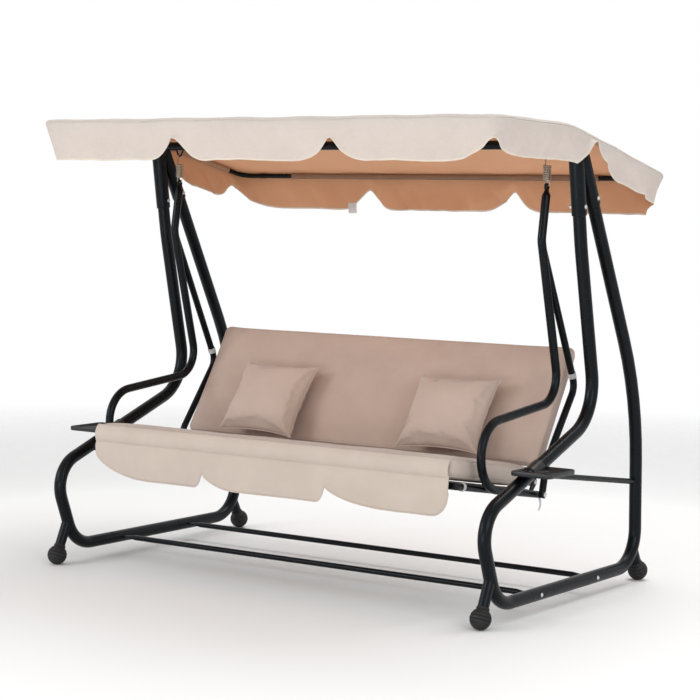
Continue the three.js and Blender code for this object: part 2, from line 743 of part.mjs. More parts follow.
function canopySideTube(side, outward) {
  const x = outward * CANOPY_TUBE_X;
  const inner = outward * (CANOPY_TUBE_X - 110);
  const axis = new BentAxis([
    at(inner, -CANOPY_TUBE_Y, tubeHeight(-CANOPY_TUBE_Y)),
    at(x, -CANOPY_TUBE_Y, tubeHeight(-CANOPY_TUBE_Y)),
    at(x, CANOPY_RIDGE_Y, CANOPY_RIDGE_Z),
    at(x, CANOPY_TUBE_Y, tubeHeight(CANOPY_TUBE_Y)),
    at(inner, CANOPY_TUBE_Y, tubeHeight(CANOPY_TUBE_Y)),
  ], [50, 800, 50], 22);
  return mesh(`canopy_${side}_tube`, bentTube(axis, CANOPY_TUBE_R), FRAME_PAINT());
}

function canopyBar(name, y) {
  const half = CANOPY_TUBE_X - 110 - GAP;
  return mesh(name, alongX(-half, half, y, tubeHeight(y), CANOPY_TUBE_R), FRAME_PAINT());
}

// Plate on the inner side of each side tube. Its stud turns in the end of the beam and carries the knob.
const TILT_PLATE_X = [BEAM_END + GAP, CANOPY_TUBE_X - CANOPY_TUBE_R - GAP];
const KNOB_FACE_X = TILT_PLATE_X[1] + 0.5;
const KNOB_BORE_DEPTH = 9;
const STUD_X = [FRAME_X - 5, KNOB_FACE_X + KNOB_BORE_DEPTH - 0.5];

function tiltPlate(side, outward) {
  const half = 20;
  const arcR = 13;
  const top = tubeHeight(BEAM_Y) + 4;
  const outline = new THREE.Shape();
  outline.moveTo(BEAM_Y + half, top);
  outline.lineTo(BEAM_Y - half, top);
  outline.lineTo(BEAM_Y - arcR, BEAM_Z);
  outline.absarc(BEAM_Y, BEAM_Z, arcR, Math.PI, 2 * Math.PI);
  const mirrored = ([low, high]) => (outward > 0 ? [low, high] : [-high, -low]);
  const plate = join(
    plateX(outline, ...mirrored(TILT_PLATE_X)),
    alongX(...mirrored(STUD_X), BEAM_Y, BEAM_Z, BOLT_R, 10),
  );
  return mesh(`canopy_${side}_plate`, plate, FRAME_PAINT());
}

function tiltKnob(side, outward) {
  const profile = [
    [KNOB_BORE_DEPTH, 0],
    [KNOB_BORE_DEPTH, HOLE_R],
    [0, HOLE_R],
    [0, 10],
    [4, 12],
    [11, 12],
    [13, 9],
    [13, 0],
  ];
  const knob = turnedX(profile.map(([x, r]) => [outward * (KNOB_FACE_X + x), r]), 20);
  return mesh(`${side}_tilt_knob`, knob.translate(0, BEAM_Y, BEAM_Z), BLACK_PLASTIC());
}

// The places where the valance is cut up towards the roof: where, the drop left there, how far the cut
// reaches towards the front and towards the rear, and how pointed it is. The front left and the rear right
// corner keep their full drop, and the rear left one is cut on its side.
function valanceNotches() {
  const inset = CANOPY_CORNER_R * (1 - Math.SQRT1_2);
  const notches = [
    { x: CANOPY_HALF_WIDTH - inset, y: inset - CANOPY_HALF_DEPTH, left: 72, reach: [150, 150], power: 2.1 },
    { x: -CANOPY_HALF_WIDTH, y: 535, left: 64, reach: [110, 185], power: 1.9 },
  ];
  for (const sx of [-1, 1]) {
    notches.push({ x: sx * CANOPY_HALF_WIDTH, y: 20, left: 22, reach: [105, 200], power: 1.7 });
    for (const sy of [-1, 1]) {
      notches.push({ x: sx * NOTCH_X, y: sy * CANOPY_HALF_DEPTH, left: 66, reach: [130, 130], power: 2.5 });
    }
  }
  return notches;
}

// The sides are a little shorter than the front and rear.
function valanceDrop(x, y) {
  const beside = clamp((Math.abs(x) - 915) / 60, 0, 1);
  const rearward = clamp(y / 50, 0, 1);
  const [before, behind] = x < 0 ? LEFT_DROPS : RIGHT_DROPS;
  const side = before + (behind - before) * rearward;
  const full = VALANCE_DROP + (side - VALANCE_DROP) * beside;
  let drop = full;
  for (const { x: nx, y: ny, left, reach, power } of valanceNotches()) {
    const t = Math.hypot(x - nx, y - ny) / reach[y < ny ? 0 : 1];
    if (t < 1) drop = Math.min(drop, full - (full - left) * notchRise(t, power));
  }
  return drop;
}

// 1 at the top of a notch, which is a little rounded, and 0 at its foot.
function notchRise(t, power) {
  const rounded = Math.sqrt(t * t + 0.008) - 0.09;
  return (1 - clamp(rounded, 0, 1)) ** power;
}

// Points along one straight edge, closer together near its notches.
function edgeStops(length, notches, ridge = []) {
  const stops = new Set([0, length]);
  const add = (s) => {
    if (s > 0 && s < length) stops.add(Math.round(s));
  };
  for (const centre of notches) [-120, -80, -48, -24, 0, 24, 48, 80, 120].forEach((d) => add(centre + d));
  [30, 65, 105].forEach((d) => {
    add(d);
    add(length - d);
  });
  for (const crest of ridge) [-190, -100, -50, 0, 50].forEach((d) => add(crest + d));
  const knots = [0, ...notches, length];
  for (let k = 0; k + 1 < knots.length; k += 1) add((knots[k] + knots[k + 1]) / 2);
  return [...stops].sort((a, b) => a - b);
}

// The rim's plan, once round anticlockwise seen from above, each point with its outward direction.
function canopyRim() {
  const r = CANOPY_CORNER_R;
  const [w, d] = [CANOPY_HALF_WIDTH, CANOPY_HALF_DEPTH];
  const wide = edgeStops(2 * (w - r), [w - r - NOTCH_X, w - r + NOTCH_X]);
  const rightSide = edgeStops(2 * (d - r), [d - r + 20], [d - r + CANOPY_RIDGE_Y]);
  const leftSide = edgeStops(2 * (d - r), [5, d - r - 20], [d - r - CANOPY_RIDGE_Y]);
  const rim = [];
  const edges = [
    { stops: wide, from: [r - w, -d], along: [1, 0], out: [0, -1] },
    { stops: rightSide, from: [w, r - d], along: [0, 1], out: [1, 0] },
    { stops: wide, from: [w - r, d], along: [-1, 0], out: [0, 1] },
    { stops: leftSide, from: [-w, d - r], along: [0, -1], out: [-1, 0] },
  ];
  for (const { stops, from, along, out } of edges) {
    for (const s of stops) rim.push([from[0] + along[0] * s, from[1] + along[1] * s, ...out]);
    const end = [from[0] + along[0] * stops.at(-1), from[1] + along[1] * stops.at(-1)];
    const centre = [end[0] - out[0] * r, end[1] - out[1] * r];
    for (const degrees of [22.5, 45, 67.5]) {
      const a = THREE.MathUtils.degToRad(degrees);
      const nx = out[0] * Math.cos(a) + along[0] * Math.sin(a);
      const ny = out[1] * Math.cos(a) + along[1] * Math.sin(a);
      rim.push([centre[0] + nx * r, centre[1] + ny * r, nx, ny]);
    }
  }
  return rim;
}

// The cover is one thin shell: a roof over the tubes and a scalloped valance all round.
function canopyCover() {
  const cloth = 3;
  const rise = CANOPY_TUBE_R + 2;
  const rim = canopyRim();
  const count = rim.length;
  const skins = [];
  for (const lift of [cloth, 0]) {
    const points = [at(0, 0, tubeHeight(0) + rise + lift)];
    const ring = (share, inset, height) => rim.forEach(([x, y, nx, ny]) => {
      const py = y * share - ny * inset;
      points.push(at(x * share - nx * inset, py, height(py)));
    });
    const edge = cloth - lift;
    const level = (y) => tubeHeight(clamp(y, -CANOPY_TUBE_Y, CANOPY_TUBE_Y));
    const hang = (part) => {
      rim.forEach(([x, y, nx, ny]) => {
        const drop = part * valanceDrop(x, y);
        const inset = edge + (VALANCE_TAPER * drop) / VALANCE_DROP;
        points.push(at(x - nx * inset, y - ny * inset, level(y) + rise - drop));
      });
    };
    ring(0.5, 0, (py) => level(py) + rise + lift);
    ring(1, 14, (py) => level(py) + rise + lift + 0.5);
    ring(1, edge, (py) => level(py) + 6);
    hang(0.5);
    hang(1);
    skins.push(points);
  }
  const rings = 5;
  const faces = [];
  const inner = skins[0].length;
  const next = (i) => (i + 1) % count;
  const place = (skin, k, i) => (skin ? inner : 0) + 1 + k * count + i;
  for (const skin of [0, 1]) {
    const face = (a, b, c) => (skin ? faces.push(a, c, b) : faces.push(a, b, c));
    for (let i = 0; i < count; i += 1) {
      face(skin ? inner : 0, place(skin, 0, i), place(skin, 0, next(i)));
      for (let k = 0; k + 1 < rings; k += 1) {
        face(place(skin, k, i), place(skin, k + 1, i), place(skin, k + 1, next(i)));
        face(place(skin, k, i), place(skin, k + 1, next(i)), place(skin, k, next(i)));
      }
    }
  }
  for (let i = 0; i < count; i += 1) {
    const [a, b] = [place(0, rings - 1, i), place(0, rings - 1, next(i))];
    const [c, d] = [place(1, rings - 1, i), place(1, rings - 1, next(i))];
    faces.push(a, c, d, a, d, b);
  }
  const geometry = new THREE.BufferGeometry();
  geometry.setFromPoints([...skins[0], ...skins[1]]);
  geometry.setIndex(faces);
  return mesh('canopy_cover', geometry, CANOPY_CLOTH());
}

function canopy() {
  const parts = new THREE.Group();
  parts.add(
    canopyBar('canopy_front_bar', -CANOPY_TUBE_Y),
    canopyBar('canopy_rear_bar', CANOPY_TUBE_Y),
    canopyCover(),
  );
  for (const [side, outward] of [['left', -1], ['right', 1]]) {
    parts.add(canopySideTube(side, outward), tiltPlate(side, outward), tiltKnob(side, outward));
  }
  return parts;
}

// ---------------------------------------------------------------- assembly
const swingBench = new THREE.Group();
swingBench.add(
  sideFrame('left', -1),
  sideFrame('right', 1),
  crossbar('front_crossbar', FRONT_BAR_Y),
  crossbar('rear_crossbar', REAR_BAR_Y),
  topBeam(),
  hangerEye('left', -ARM_X),
  hangerEye('right', ARM_X),
  bench(),
  canopy(),
);

export default swingBench;
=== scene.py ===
"""Looks of the garden swing bench: smooth tubes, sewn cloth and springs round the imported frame.

Metres, +Z up, the front faces -Y and right is +X. Lengths that the frame has too are named once, below.
"""
import math

import bmesh
import bpy
import numpy as np
from mathutils import Matrix, Vector, noise


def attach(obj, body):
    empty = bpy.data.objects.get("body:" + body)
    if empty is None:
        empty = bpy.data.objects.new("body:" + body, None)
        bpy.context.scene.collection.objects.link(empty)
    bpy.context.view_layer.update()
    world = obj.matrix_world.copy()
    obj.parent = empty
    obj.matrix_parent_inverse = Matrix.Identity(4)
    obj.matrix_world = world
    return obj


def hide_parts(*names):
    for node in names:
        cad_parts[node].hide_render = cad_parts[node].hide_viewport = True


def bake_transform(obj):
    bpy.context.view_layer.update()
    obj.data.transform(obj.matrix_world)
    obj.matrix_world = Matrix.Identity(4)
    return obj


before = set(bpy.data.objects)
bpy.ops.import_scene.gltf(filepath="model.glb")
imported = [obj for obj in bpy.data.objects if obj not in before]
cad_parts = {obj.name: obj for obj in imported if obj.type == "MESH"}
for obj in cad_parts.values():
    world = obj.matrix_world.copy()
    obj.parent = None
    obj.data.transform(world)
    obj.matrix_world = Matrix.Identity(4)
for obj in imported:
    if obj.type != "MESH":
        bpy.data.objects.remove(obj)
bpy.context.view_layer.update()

# ---------------------------------------------------------------- lengths of the frame
SIDES = (("left", -1), ("right", 1))
GAP = 0.0003

FRAME_X = 0.920
LEG_R = 0.0225
SLEEVE_R = 0.027
STUB_R = 0.019
FOOT_R = 0.036
BASE_Z = 0.060
FRONT_JOINT_Y = -0.262
REAR_JOINT_Y = 0.122
FRONT_FOOT_Y = -0.559
REAR_FOOT_Y = 0.530
CROSSBAR_R = 0.010
CROSSBAR_Y = {"front": -0.206, "rear": 0.186}

BEAM_Y = 0.005
BEAM_Z = 1.558
BEAM_R = 0.016
BRACKET_TOP_Z = 1.570
BRACKET_BOLTS = ((0.0344, 1.350), (0.123, 1.380))

ARM_X = 0.811
ARM_R = 0.015
HANGER_R = 0.0125
PIVOT_Z = 1.519
SPRING_TOP_Z = 1.492
SPRING_BOTTOM_Z = 1.436
SPRING_R = 0.015
SPRING_WIRE_R = 0.002
EYE_Z = 1.416

SEAT_FRONT = Vector((0, -0.490, 0.441))
SEAT_TILT = math.radians(9.3)
SEAT_RAIL_R = 0.0125
SEAT_RAIL_X = 0.781
SEAT_DEPTH = 0.520
CUSHION_HALF_WIDTH = 0.768
BACK_PAD_HALF_WIDTH = 0.781

HINGE = Vector((0, 0.061, 0.393))
BACK_TILT = math.radians(31.6)
BACK_TUBE_R = 0.011
BACK_TUBE_X = 0.735
BACK_HEIGHT = 0.480

TRAY_TOP_Z = 0.489
TRAY_THICK = 0.017
TRAY_X = (0.897, 1.050)
TRAY_Y = (-0.358, -0.180)

CANOPY_HALF_WIDTH = 0.975
CANOPY_HALF_DEPTH = 0.600
CANOPY_CORNER_R = 0.060
CANOPY_TUBE_R = 0.0095
CANOPY_TUBE_X = 0.961
CANOPY_TUBE_Y = 0.585
CANOPY_FRONT_Z = 1.625
CANOPY_RIDGE_Y = -0.100
CANOPY_RIDGE_Z = 1.611
CANOPY_REAR_Z = 1.452
VALANCE_DROP = 0.142
VALANCE_TAPER = 0.020


# ---------------------------------------------------------------- node helpers
def fill_in(tree, made, inputs):
    """Gives a node's inputs their numbers, or the sockets that feed them."""
    for name, value in inputs.items():
        if isinstance(value, bpy.types.NodeSocket):
            tree.links.new(value, made.inputs[name])
        else:
            made.inputs[name].default_value = value


def node(tree, kind, inputs=None, **settings):
    made = tree.nodes.new(kind)
    for name, value in settings.items():
        setattr(made, name, value)
    fill_in(tree, made, inputs or {})
    return made


def principled(name):
    """A new material, its nodes and its main shader."""
    made = bpy.data.materials.new(name)
    made.use_nodes = True
    return made, made.node_tree, made.node_tree.nodes["Principled BSDF"]


def object_point(tree):
    return node(tree, "ShaderNodeTexCoord").outputs["Object"]


def noise_value(tree, point, scale, detail=3.0, rough=0.5):
    return node(tree, "ShaderNodeTexNoise",
                {"Vector": point, "Scale": scale, "Detail": detail, "Roughness": rough}).outputs["Fac"]


def between(tree, value, low, high):
    """Spreads the middle of a noise value from low to high."""
    return node(tree, "ShaderNodeMapRange",
                {"Value": value, "From Min": 0.3, "From Max": 0.7, "To Min": low, "To Max": high}).outputs[0]


def mixed(tree, share, first, second):
    inputs = {0: share, 6: (*first, 1), 7: (*second, 1)}
    return node(tree, "ShaderNodeMix", inputs, data_type="RGBA").outputs[2]


def clouded(tree, point, scale, first, second):
    """Two colours mixed in soft clouds."""
    return mixed(tree, between(tree, noise_value(tree, point, scale), 0.0, 1.0), first, second)


def mixed_shaders(tree, share, first, second, output):
    """Two shaders mixed into the tree's output."""
    mix = node(tree, "ShaderNodeMixShader", {0: share, 1: first.outputs[0], 2: second.outputs[0]})
    tree.links.new(mix.outputs[0], tree.nodes[output].inputs["Surface"])


def math_node(tree, operation, first, second=0.0):
    return node(tree, "ShaderNodeMath", {0: first, 1: second}, operation=operation).outputs[0]


def bump(tree, height, depth, strength=1.0, below=None):
    inputs = {"Height": height, "Distance": depth, "Strength": strength}
    if below is not None:
        inputs["Normal"] = below
    return node(tree, "ShaderNodeBump", inputs).outputs["Normal"]


# ---------------------------------------------------------------- materials
def powder_coat():
    """Satin black powder coat with a fine orange peel."""
    made, tree, shader = principled("powder_coat")
    point = object_point(tree)
    fill_in(tree, shader, {
        "IOR": 1.5, "Specular IOR Level": 0.20, "Specular Tint": (0.78, 0.90, 1.0, 1),
        "Base Color": clouded(tree, point, 6.0, (0.0016, 0.0018, 0.0021), (0.0036, 0.0041, 0.0050)),
        "Roughness": between(tree, noise_value(tree, point, 35.0), 0.26, 0.34),
        "Normal": bump(tree, noise_value(tree, point, 900.0, 2.0), 0.00025, 0.5)})
    return made


def moulded(name, colour, roughness, grain):
    """Moulded rubber or plastic with a fine grain."""
    made, tree, shader = principled(name)
    point = object_point(tree)
    fill_in(tree, shader, {
        "Base Color": clouded(tree, point, 14.0, colour, [c * 1.6 for c in colour]),
        "Roughness": between(tree, noise_value(tree, point, 50.0), *roughness),
        "Normal": bump(tree, noise_value(tree, point, grain, 2.0), 0.0003, 0.5)})
    return made


def zinc(name, colour, roughness):
    """Zinc plated steel, slightly cloudy."""
    made, tree, shader = principled(name)
    point = object_point(tree)
    fill_in(tree, shader, {
        "Metallic": 1.0,
        "Base Color": clouded(tree, point, 60.0, colour, [c * 0.75 for c in colour]),
        "Roughness": between(tree, noise_value(tree, point, 180.0), *roughness)})
    return made


def woven(name, light, dark, thread=0.0011, glow=0.0, glow_colour=None, sheen=0.25, fold=0.0072):
    """Plain woven polyester. Threads cross along the weave map, and soft creases run at a hand's width."""
    made, tree, shader = principled(name)
    weave = node(tree, "ShaderNodeUVMap", uv_map="weave").outputs["UV"]
    split = node(tree, "ShaderNodeSeparateXYZ", {"Vector": weave})
    turns = 2 * math.pi / thread
    warp, weft = (math_node(tree, "SINE", math_node(tree, "MULTIPLY", split.outputs[axis], turns))
                  for axis in "XY")
    cross = math_node(tree, "MULTIPLY", warp, weft)
    point = object_point(tree)
    mottle = between(tree, noise_value(tree, point, 7.0, 5.0, 0.6), 0.0, 1.0)
    slub = between(tree, noise_value(tree, weave, 420.0, 2.0), 0.0, 0.35)
    tone = math_node(tree, "ADD", math_node(tree, "MULTIPLY", mottle, 0.55), slub)
    folds = bump(tree, noise_value(tree, point, 11.0, 4.0, 0.55), fold, 0.55)
    threads = bump(tree, cross, thread * 0.25, 0.35, below=folds)
    fill_in(tree, shader, {
        "Base Color": mixed(tree, tone, light, dark), "Roughness": 0.86, "Specular IOR Level": 0.25,
        "Sheen Weight": sheen, "Sheen Roughness": 0.5, "Normal": threads})
    if glow:
        through = node(tree, "ShaderNodeBsdfTranslucent", {"Color": (*glow_colour, 1), "Normal": threads})
        mixed_shaders(tree, glow, shader, through, "Material Output")
    return made


PAINT = powder_coat()
RUBBER = moulded("foot_rubber", (0.0045, 0.0045, 0.0050), (0.60, 0.80), 700.0)
PLASTIC = moulded("tray_plastic", (0.0075, 0.0082, 0.0095), (0.32, 0.46), 1100.0)
BOLT_ZINC = zinc("bolt_zinc", (0.74, 0.75, 0.75), (0.22, 0.40))
SPRING_ZINC = zinc("spring_zinc", (0.52, 0.48, 0.40), (0.24, 0.40))
CANOPY_OUT = woven("canopy_cloth", (0.750, 0.712, 0.668), (0.665, 0.628, 0.585), glow=0.24,
                   glow_colour=(0.90, 0.72, 0.56), fold=0.022)
# The canopy's inner face is the same cloth as the outside. Its translucency is real light through the cloth,
# and its tan-orange base colour is painted light, the glow of light coming through.
CANOPY_INSIDE_PAINTED_GLOW = woven("canopy_inside_painted_glow", (0.74, 0.49, 0.335), (0.65, 0.42, 0.28), glow=0.45,
                  glow_colour=(1.0, 0.62, 0.38), sheen=0.05)
BINDING = woven("edge_binding", (0.72, 0.65, 0.56), (0.64, 0.57, 0.485), thread=0.0008)
SEAT_CLOTH = woven("seat_cloth", (0.57, 0.485, 0.425), (0.485, 0.405, 0.35))
BACK_CLOTH = woven("backrest_cloth", (0.555, 0.435, 0.375), (0.450, 0.345, 0.292))
PILLOW_CLOTH = woven("pillow_cloth", (0.570, 0.455, 0.398), (0.480, 0.372, 0.322))
# The bar pockets are canopy cloth; their dark brown is painted shade.
SHADED_POCKET_CLOTH = woven("shaded_pocket_cloth", (0.30, 0.185, 0.12), (0.22, 0.135, 0.09), sheen=0.05)
SLING_CLOTH = woven("sling_cloth", (0.42, 0.33, 0.27), (0.34, 0.26, 0.21), thread=0.0018)
WEBBING = woven("white_webbing", (0.80, 0.79, 0.78), (0.68, 0.67, 0.66), thread=0.0016, glow=0.35,
                glow_colour=(0.95, 0.94, 0.95))


# ---------------------------------------------------------------- shapes
SHARP = math.radians(38)


class Shape:
    """Points and faces gathered for one piece."""

    def __init__(self, points=(), faces=()):
        self.points = []
        self.faces = []
        self.add(points, faces)

    def add(self, points, faces):
        base = len(self.points)
        self.points.extend(tuple(p) for p in points)
        self.faces.extend(tuple(base + i for i in face) for face in faces)
        return self

    def piece(self, name, *materials, place=None, recalculated=True):
        mesh = bpy.data.meshes.new(name)
        mesh.from_pydata(self.points, [], self.faces)
        for material in materials:
            mesh.materials.append(material)
        mesh.polygons.foreach_set("use_smooth", [True] * len(self.faces))
        if place is not None:
            mesh.transform(place)
        if recalculated:
            rebuilt = bmesh.new()
            rebuilt.from_mesh(mesh)
            bmesh.ops.recalc_face_normals(rebuilt, faces=rebuilt.faces)
            rebuilt.to_mesh(mesh)
            rebuilt.free()
        mesh.set_sharp_from_angle(angle=SHARP)
        return linked(name, mesh)


def linked(name, data):
    made = bpy.data.objects.new(name, data)
    bpy.context.scene.collection.objects.link(made)
    return made


def limited(value):
    return min(1.0, max(0.0, value))


def in_plane(x, rows):
    """The points of a side view, moved out to x."""
    return [(x, *row) for row in rows]


def grid_faces(rows, columns):
    return [(r * columns + c, r * columns + c + 1, (r + 1) * columns + c + 1, (r + 1) * columns + c)
            for r in range(rows - 1) for c in range(columns - 1)]


def loft(rings, capped=True, closed=False, shift=0):
    """A skin over rings of one length, its ends capped or joined; shift turns the rings where they join."""
    count, sides = len(rings), len(rings[0])
    faces = []
    for i in range(count if closed else count - 1):
        j = (i + 1) % count
        turn = shift if j == 0 else 0
        for k in range(sides):
            n = (k + 1) % sides
            faces.append((i * sides + k, i * sides + n,
                          j * sides + (n + turn) % sides, j * sides + (k + turn) % sides))
    if capped and not closed:
        faces.append(tuple(range(sides))[::-1])
        faces.append(tuple((count - 1) * sides + k for k in range(sides)))
    return [p for ring in rings for p in ring], faces


def circle(centre, arms, radius, sides, ripple=None):
    """Points round a centre, in the plane of two arms."""
    side, other = arms
    return [centre + (side * math.cos(a) + other * math.sin(a)) * (radius * (ripple(a) if ripple else 1))
            for a in (2 * math.pi * k / sides for k in range(sides))]


def bent(corners, radii, step=math.radians(5)):
    """Points along straight runs joined by arcs; radii has one entry for each inner corner."""
    corners = [Vector(c) for c in corners]
    path = [corners[0]]
    for before, corner, after, radius in zip(corners, corners[1:], corners[2:], radii):
        into = (corner - before).normalized()
        out = (after - corner).normalized()
        turn = into.angle(out)
        start = corner - into * radius * math.tan(turn / 2)
        inward = (out - into * into.dot(out)).normalized()
        centre = start + inward * radius
        count = max(2, math.ceil(turn / step))
        for k in range(count + 1):
            a = turn * k / count
            path.append(centre + into * (radius * math.sin(a)) - inward * (radius * math.cos(a)))
    return path + [corners[-1]]


def sweep(path, radius, sides=28, closed=False):
    """A round section carried along a path without twist. radius is a number or one for each point."""
    path = [Vector(p) for p in path]
    count = len(path)
    radii = [radius] * count if isinstance(radius, (int, float)) else list(radius)
    steps = [(path[(i + 1) % count] - path[i]).normalized() for i in range(count if closed else count - 1)]
    tangents = []
    for i in range(count):
        before = steps[i - 1] if (i or closed) else steps[0]
        after = steps[i] if i < len(steps) else steps[-1]
        tangents.append((before + after).normalized())
    side = tangents[0].orthogonal().normalized()
    rings = []
    for i, point in enumerate(path):
        if i:
            side = tangents[i - 1].rotation_difference(tangents[i]) @ side
        rings.append(circle(point, (side, tangents[i].cross(side)), radii[i], sides))
    shift = min(range(sides), key=lambda k: (rings[-1][0] - rings[0][k]).length) if closed else 0
    return loft(rings, closed=closed, shift=shift)


def eased(path, radius, ease=0.0012):
    """A tube's radii with both rims broken, and the points that carry them."""
    path = [Vector(p) for p in path]
    start = (path[1] - path[0]).normalized() * ease
    end = (path[-2] - path[-1]).normalized() * ease
    longer = [path[0], path[0] + start, *path[1:-1], path[-1] + end, path[-1]]
    radii = [radius - ease, *[radius] * (len(longer) - 2), radius - ease]
    return longer, radii


def tube(corners, radii, radius, sides=28):
    path, widths = eased(bent(corners, radii), radius)
    return sweep(path, widths, sides)


def turned(profile, place, axis, sides=32, ripple=None, capped=True):
    """A profile of (along, radius) rows turned about an axis through place."""
    axis = Vector(axis).normalized()
    side = axis.orthogonal().normalized()
    arms = (side, axis.cross(side))
    rings = [circle(Vector(place) + axis * along, arms, radius, sides, ripple) for along, radius in profile]
    return loft(rings, capped)


def ride(piece, body, slot, *nodes):
    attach(piece, body)
    if nodes:
        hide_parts(*nodes)
    return piece


def painted(shape, name, body, *nodes, place=None):
    """A piece of painted steel."""
    return ride(shape.piece(name, PAINT, place=place), body, "frame_paint", *nodes)


def sewn(shape, name, material, body, slot, *nodes):
    """A piece of cloth or webbing with its weave map."""
    made = shape.piece(name, material)
    weave_map(made)
    return ride(made, body, slot, *nodes)


# ---------------------------------------------------------------- fasteners
def dome_head(shape, place, out, radius=0.0062, height=0.0042):
    """A domed bolt head on its washer, standing out from place."""
    rows = [(0.0, radius * 1.25), (0.0008, radius * 1.3), (0.0014, radius * 1.25), (0.0014, radius)]
    rows += [(0.0014 + height * math.sin(a), radius * math.cos(a)) for a in np.linspace(0.15, 1.45, 7)]
    return shape.add(*turned(rows, place, out, 24))


def hex_nut(shape, place, out, across=0.013, height=0.0065, stud=0.004):
    corner = across / math.sqrt(3)
    rows = [(0.0, corner * 0.94), (0.0007, corner), (height - 0.0007, corner), (height, corner * 0.9)]
    shape.add(*turned(rows, place, out, 6))
    end = [(0.0, stud), (height + 0.003, stud), (height + 0.0036, stud * 0.7)]
    return shape.add(*turned(end, place, out, 16))


# ---------------------------------------------------------------- stand
# Side views of the legs, as (y, z) corners, with the radius of each inner bend; then each leg's spigot.
FRONT_LEG = ((FRONT_JOINT_Y - GAP, BASE_Z), (-0.466, BASE_Z), (-0.577, 0.353), (0.182, 0.631), (0.055, 1.215),
             (0.020, 1.445))
REAR_LEG = ((REAR_JOINT_Y + GAP, BASE_Z), (0.505, BASE_Z), (0.491, 0.670), (0.089, 1.446))
FRONT_LEG_RADII = (0.130, 0.115, 0.170, 0.900)
REAR_LEG_RADII = (0.130, 1.000)
FRONT_STUB = ((-0.498, 0.170), (-0.555, 0.045))
REAR_STUB = ((0.484, 0.124), (0.526, 0.045))
SLEEVES = (((0.0390, 1.320), (0.002, 1.568)), ((0.1346, 1.358), (0.0255, 1.568)))
SLEEVE_RIM = 0.0010
SLEEVE_SKIN = 0.0006
SOLE_SINK = 0.001
FOOT_GROOVE = 0.0026
FOOT_STEPS = 72
TRAY_BOLT = (0.494, 0.362)
TRAY_ARM = ((0.480, 0.3642), (-0.206, 0.462))
TRAY_ARM_R = 0.010


def leg(side, s, which):
    rows, radii, ends = {"front": (FRONT_LEG, FRONT_LEG_RADII, FRONT_STUB),
                         "rear": (REAR_LEG, REAR_LEG_RADII, REAR_STUB)}[which]
    x = s * FRAME_X
    shape = Shape(*tube(in_plane(x, rows), radii, LEG_R, 36))
    shape.add(*sweep(in_plane(x, ends), STUB_R))
    return painted(shape, f"{side}_{which}_leg_tube", "stand", f"{side}_{which}_leg")


def base_rail(side, s):
    ends = in_plane(s * FRAME_X, ((FRONT_JOINT_Y, BASE_Z), (REAR_JOINT_Y, BASE_Z)))
    return painted(Shape(*tube(ends, (), LEG_R, 36)), f"{side}_base_tube", "stand", f"{side}_base_rail")


def bracket(side, s):
    """Two sleeves that meet over the top beam, cut level at the top, with an eased lower rim."""
    shape = Shape()
    for ends in SLEEVES:
        start, end = (Vector(p) for p in in_plane(s * FRAME_X, ends))
        up = (end - start).normalized()
        path = [start, start + up * 0.0012, start + up * 0.004, end]
        radii = [SLEEVE_R - 0.0024, SLEEVE_R - SLEEVE_RIM, SLEEVE_R - SLEEVE_SKIN, SLEEVE_R - SLEEVE_SKIN]
        points, faces = sweep(path, radii, 36)
        shape.add([(px, py, min(pz, BRACKET_TOP_Z)) for px, py, pz in points], faces)
    return painted(shape, f"{side}_leg_bracket", "stand", f"{side}_top_bracket")


def foot(side, s, which):
    """A ribbed rubber ball pushed on to its stub, with a flat sole."""
    y, ends = {"front": (FRONT_FOOT_Y, FRONT_STUB), "rear": (REAR_FOOT_Y, REAR_STUB)}[which]
    top, low = (Vector(p) for p in in_plane(s * FRAME_X, ends))
    rows = []
    for k in range(FOOT_STEPS + 1):
        a = math.pi * (0.02 + 0.79 * k / FOOT_STEPS)
        groove = max(0.0, math.cos(18.0 * a)) ** 8 if 0.24 < a / math.pi < 0.72 else 0.0
        radius = FOOT_R - FOOT_GROOVE * groove
        rows.append((-radius * math.cos(a), radius * math.sin(a)))
    rows += [(FOOT_R * 0.90, STUB_R + 0.0030), (FOOT_R * 1.04, STUB_R + 0.0026),
             (FOOT_R * 1.08, STUB_R + 0.0004)]
    points, faces = turned(rows, (s * FRAME_X, y, FOOT_R - SOLE_SINK), top - low, 56)
    shape = Shape([(px, py, max(pz, 0.0)) for px, py, pz in points], faces)
    made = shape.piece(f"{side}_{which}_foot_cap", RUBBER)
    return ride(made, "stand", "foot_rubber", f"{side}_{which}_foot")


def stand_bolts(side, s):
    """Bolts of the bracket, the crossbars and the tray arm."""
    for which, (y, z) in zip(("front", "rear"), BRACKET_BOLTS):
        shape = dome_head(Shape(), (s * (FRAME_X + SLEEVE_R - 0.001), y, z), (s, 0, 0))
        hex_nut(shape, (s * (FRAME_X - SLEEVE_R + 0.001), y, z), (-s, 0, 0))
        made = shape.piece(f"{side}_{which}_bracket_bolt", BOLT_ZINC)
        ride(made, "stand", "fasteners", f"{side}_{which}_leg_bolt")
    shape = Shape()
    for y in CROSSBAR_Y.values():
        dome_head(shape, (s * (FRAME_X + LEG_R - 0.0006), y, BASE_Z), (s, 0, 0), 0.0056, 0.0036)
    y, z = TRAY_BOLT
    dome_head(shape, (s * FRAME_X, y + LEG_R - 0.001, z), (0, 1, -0.12), 0.007, 0.004)
    return ride(shape.piece(f"{side}_frame_bolts", BOLT_ZINC), "stand", "fasteners")


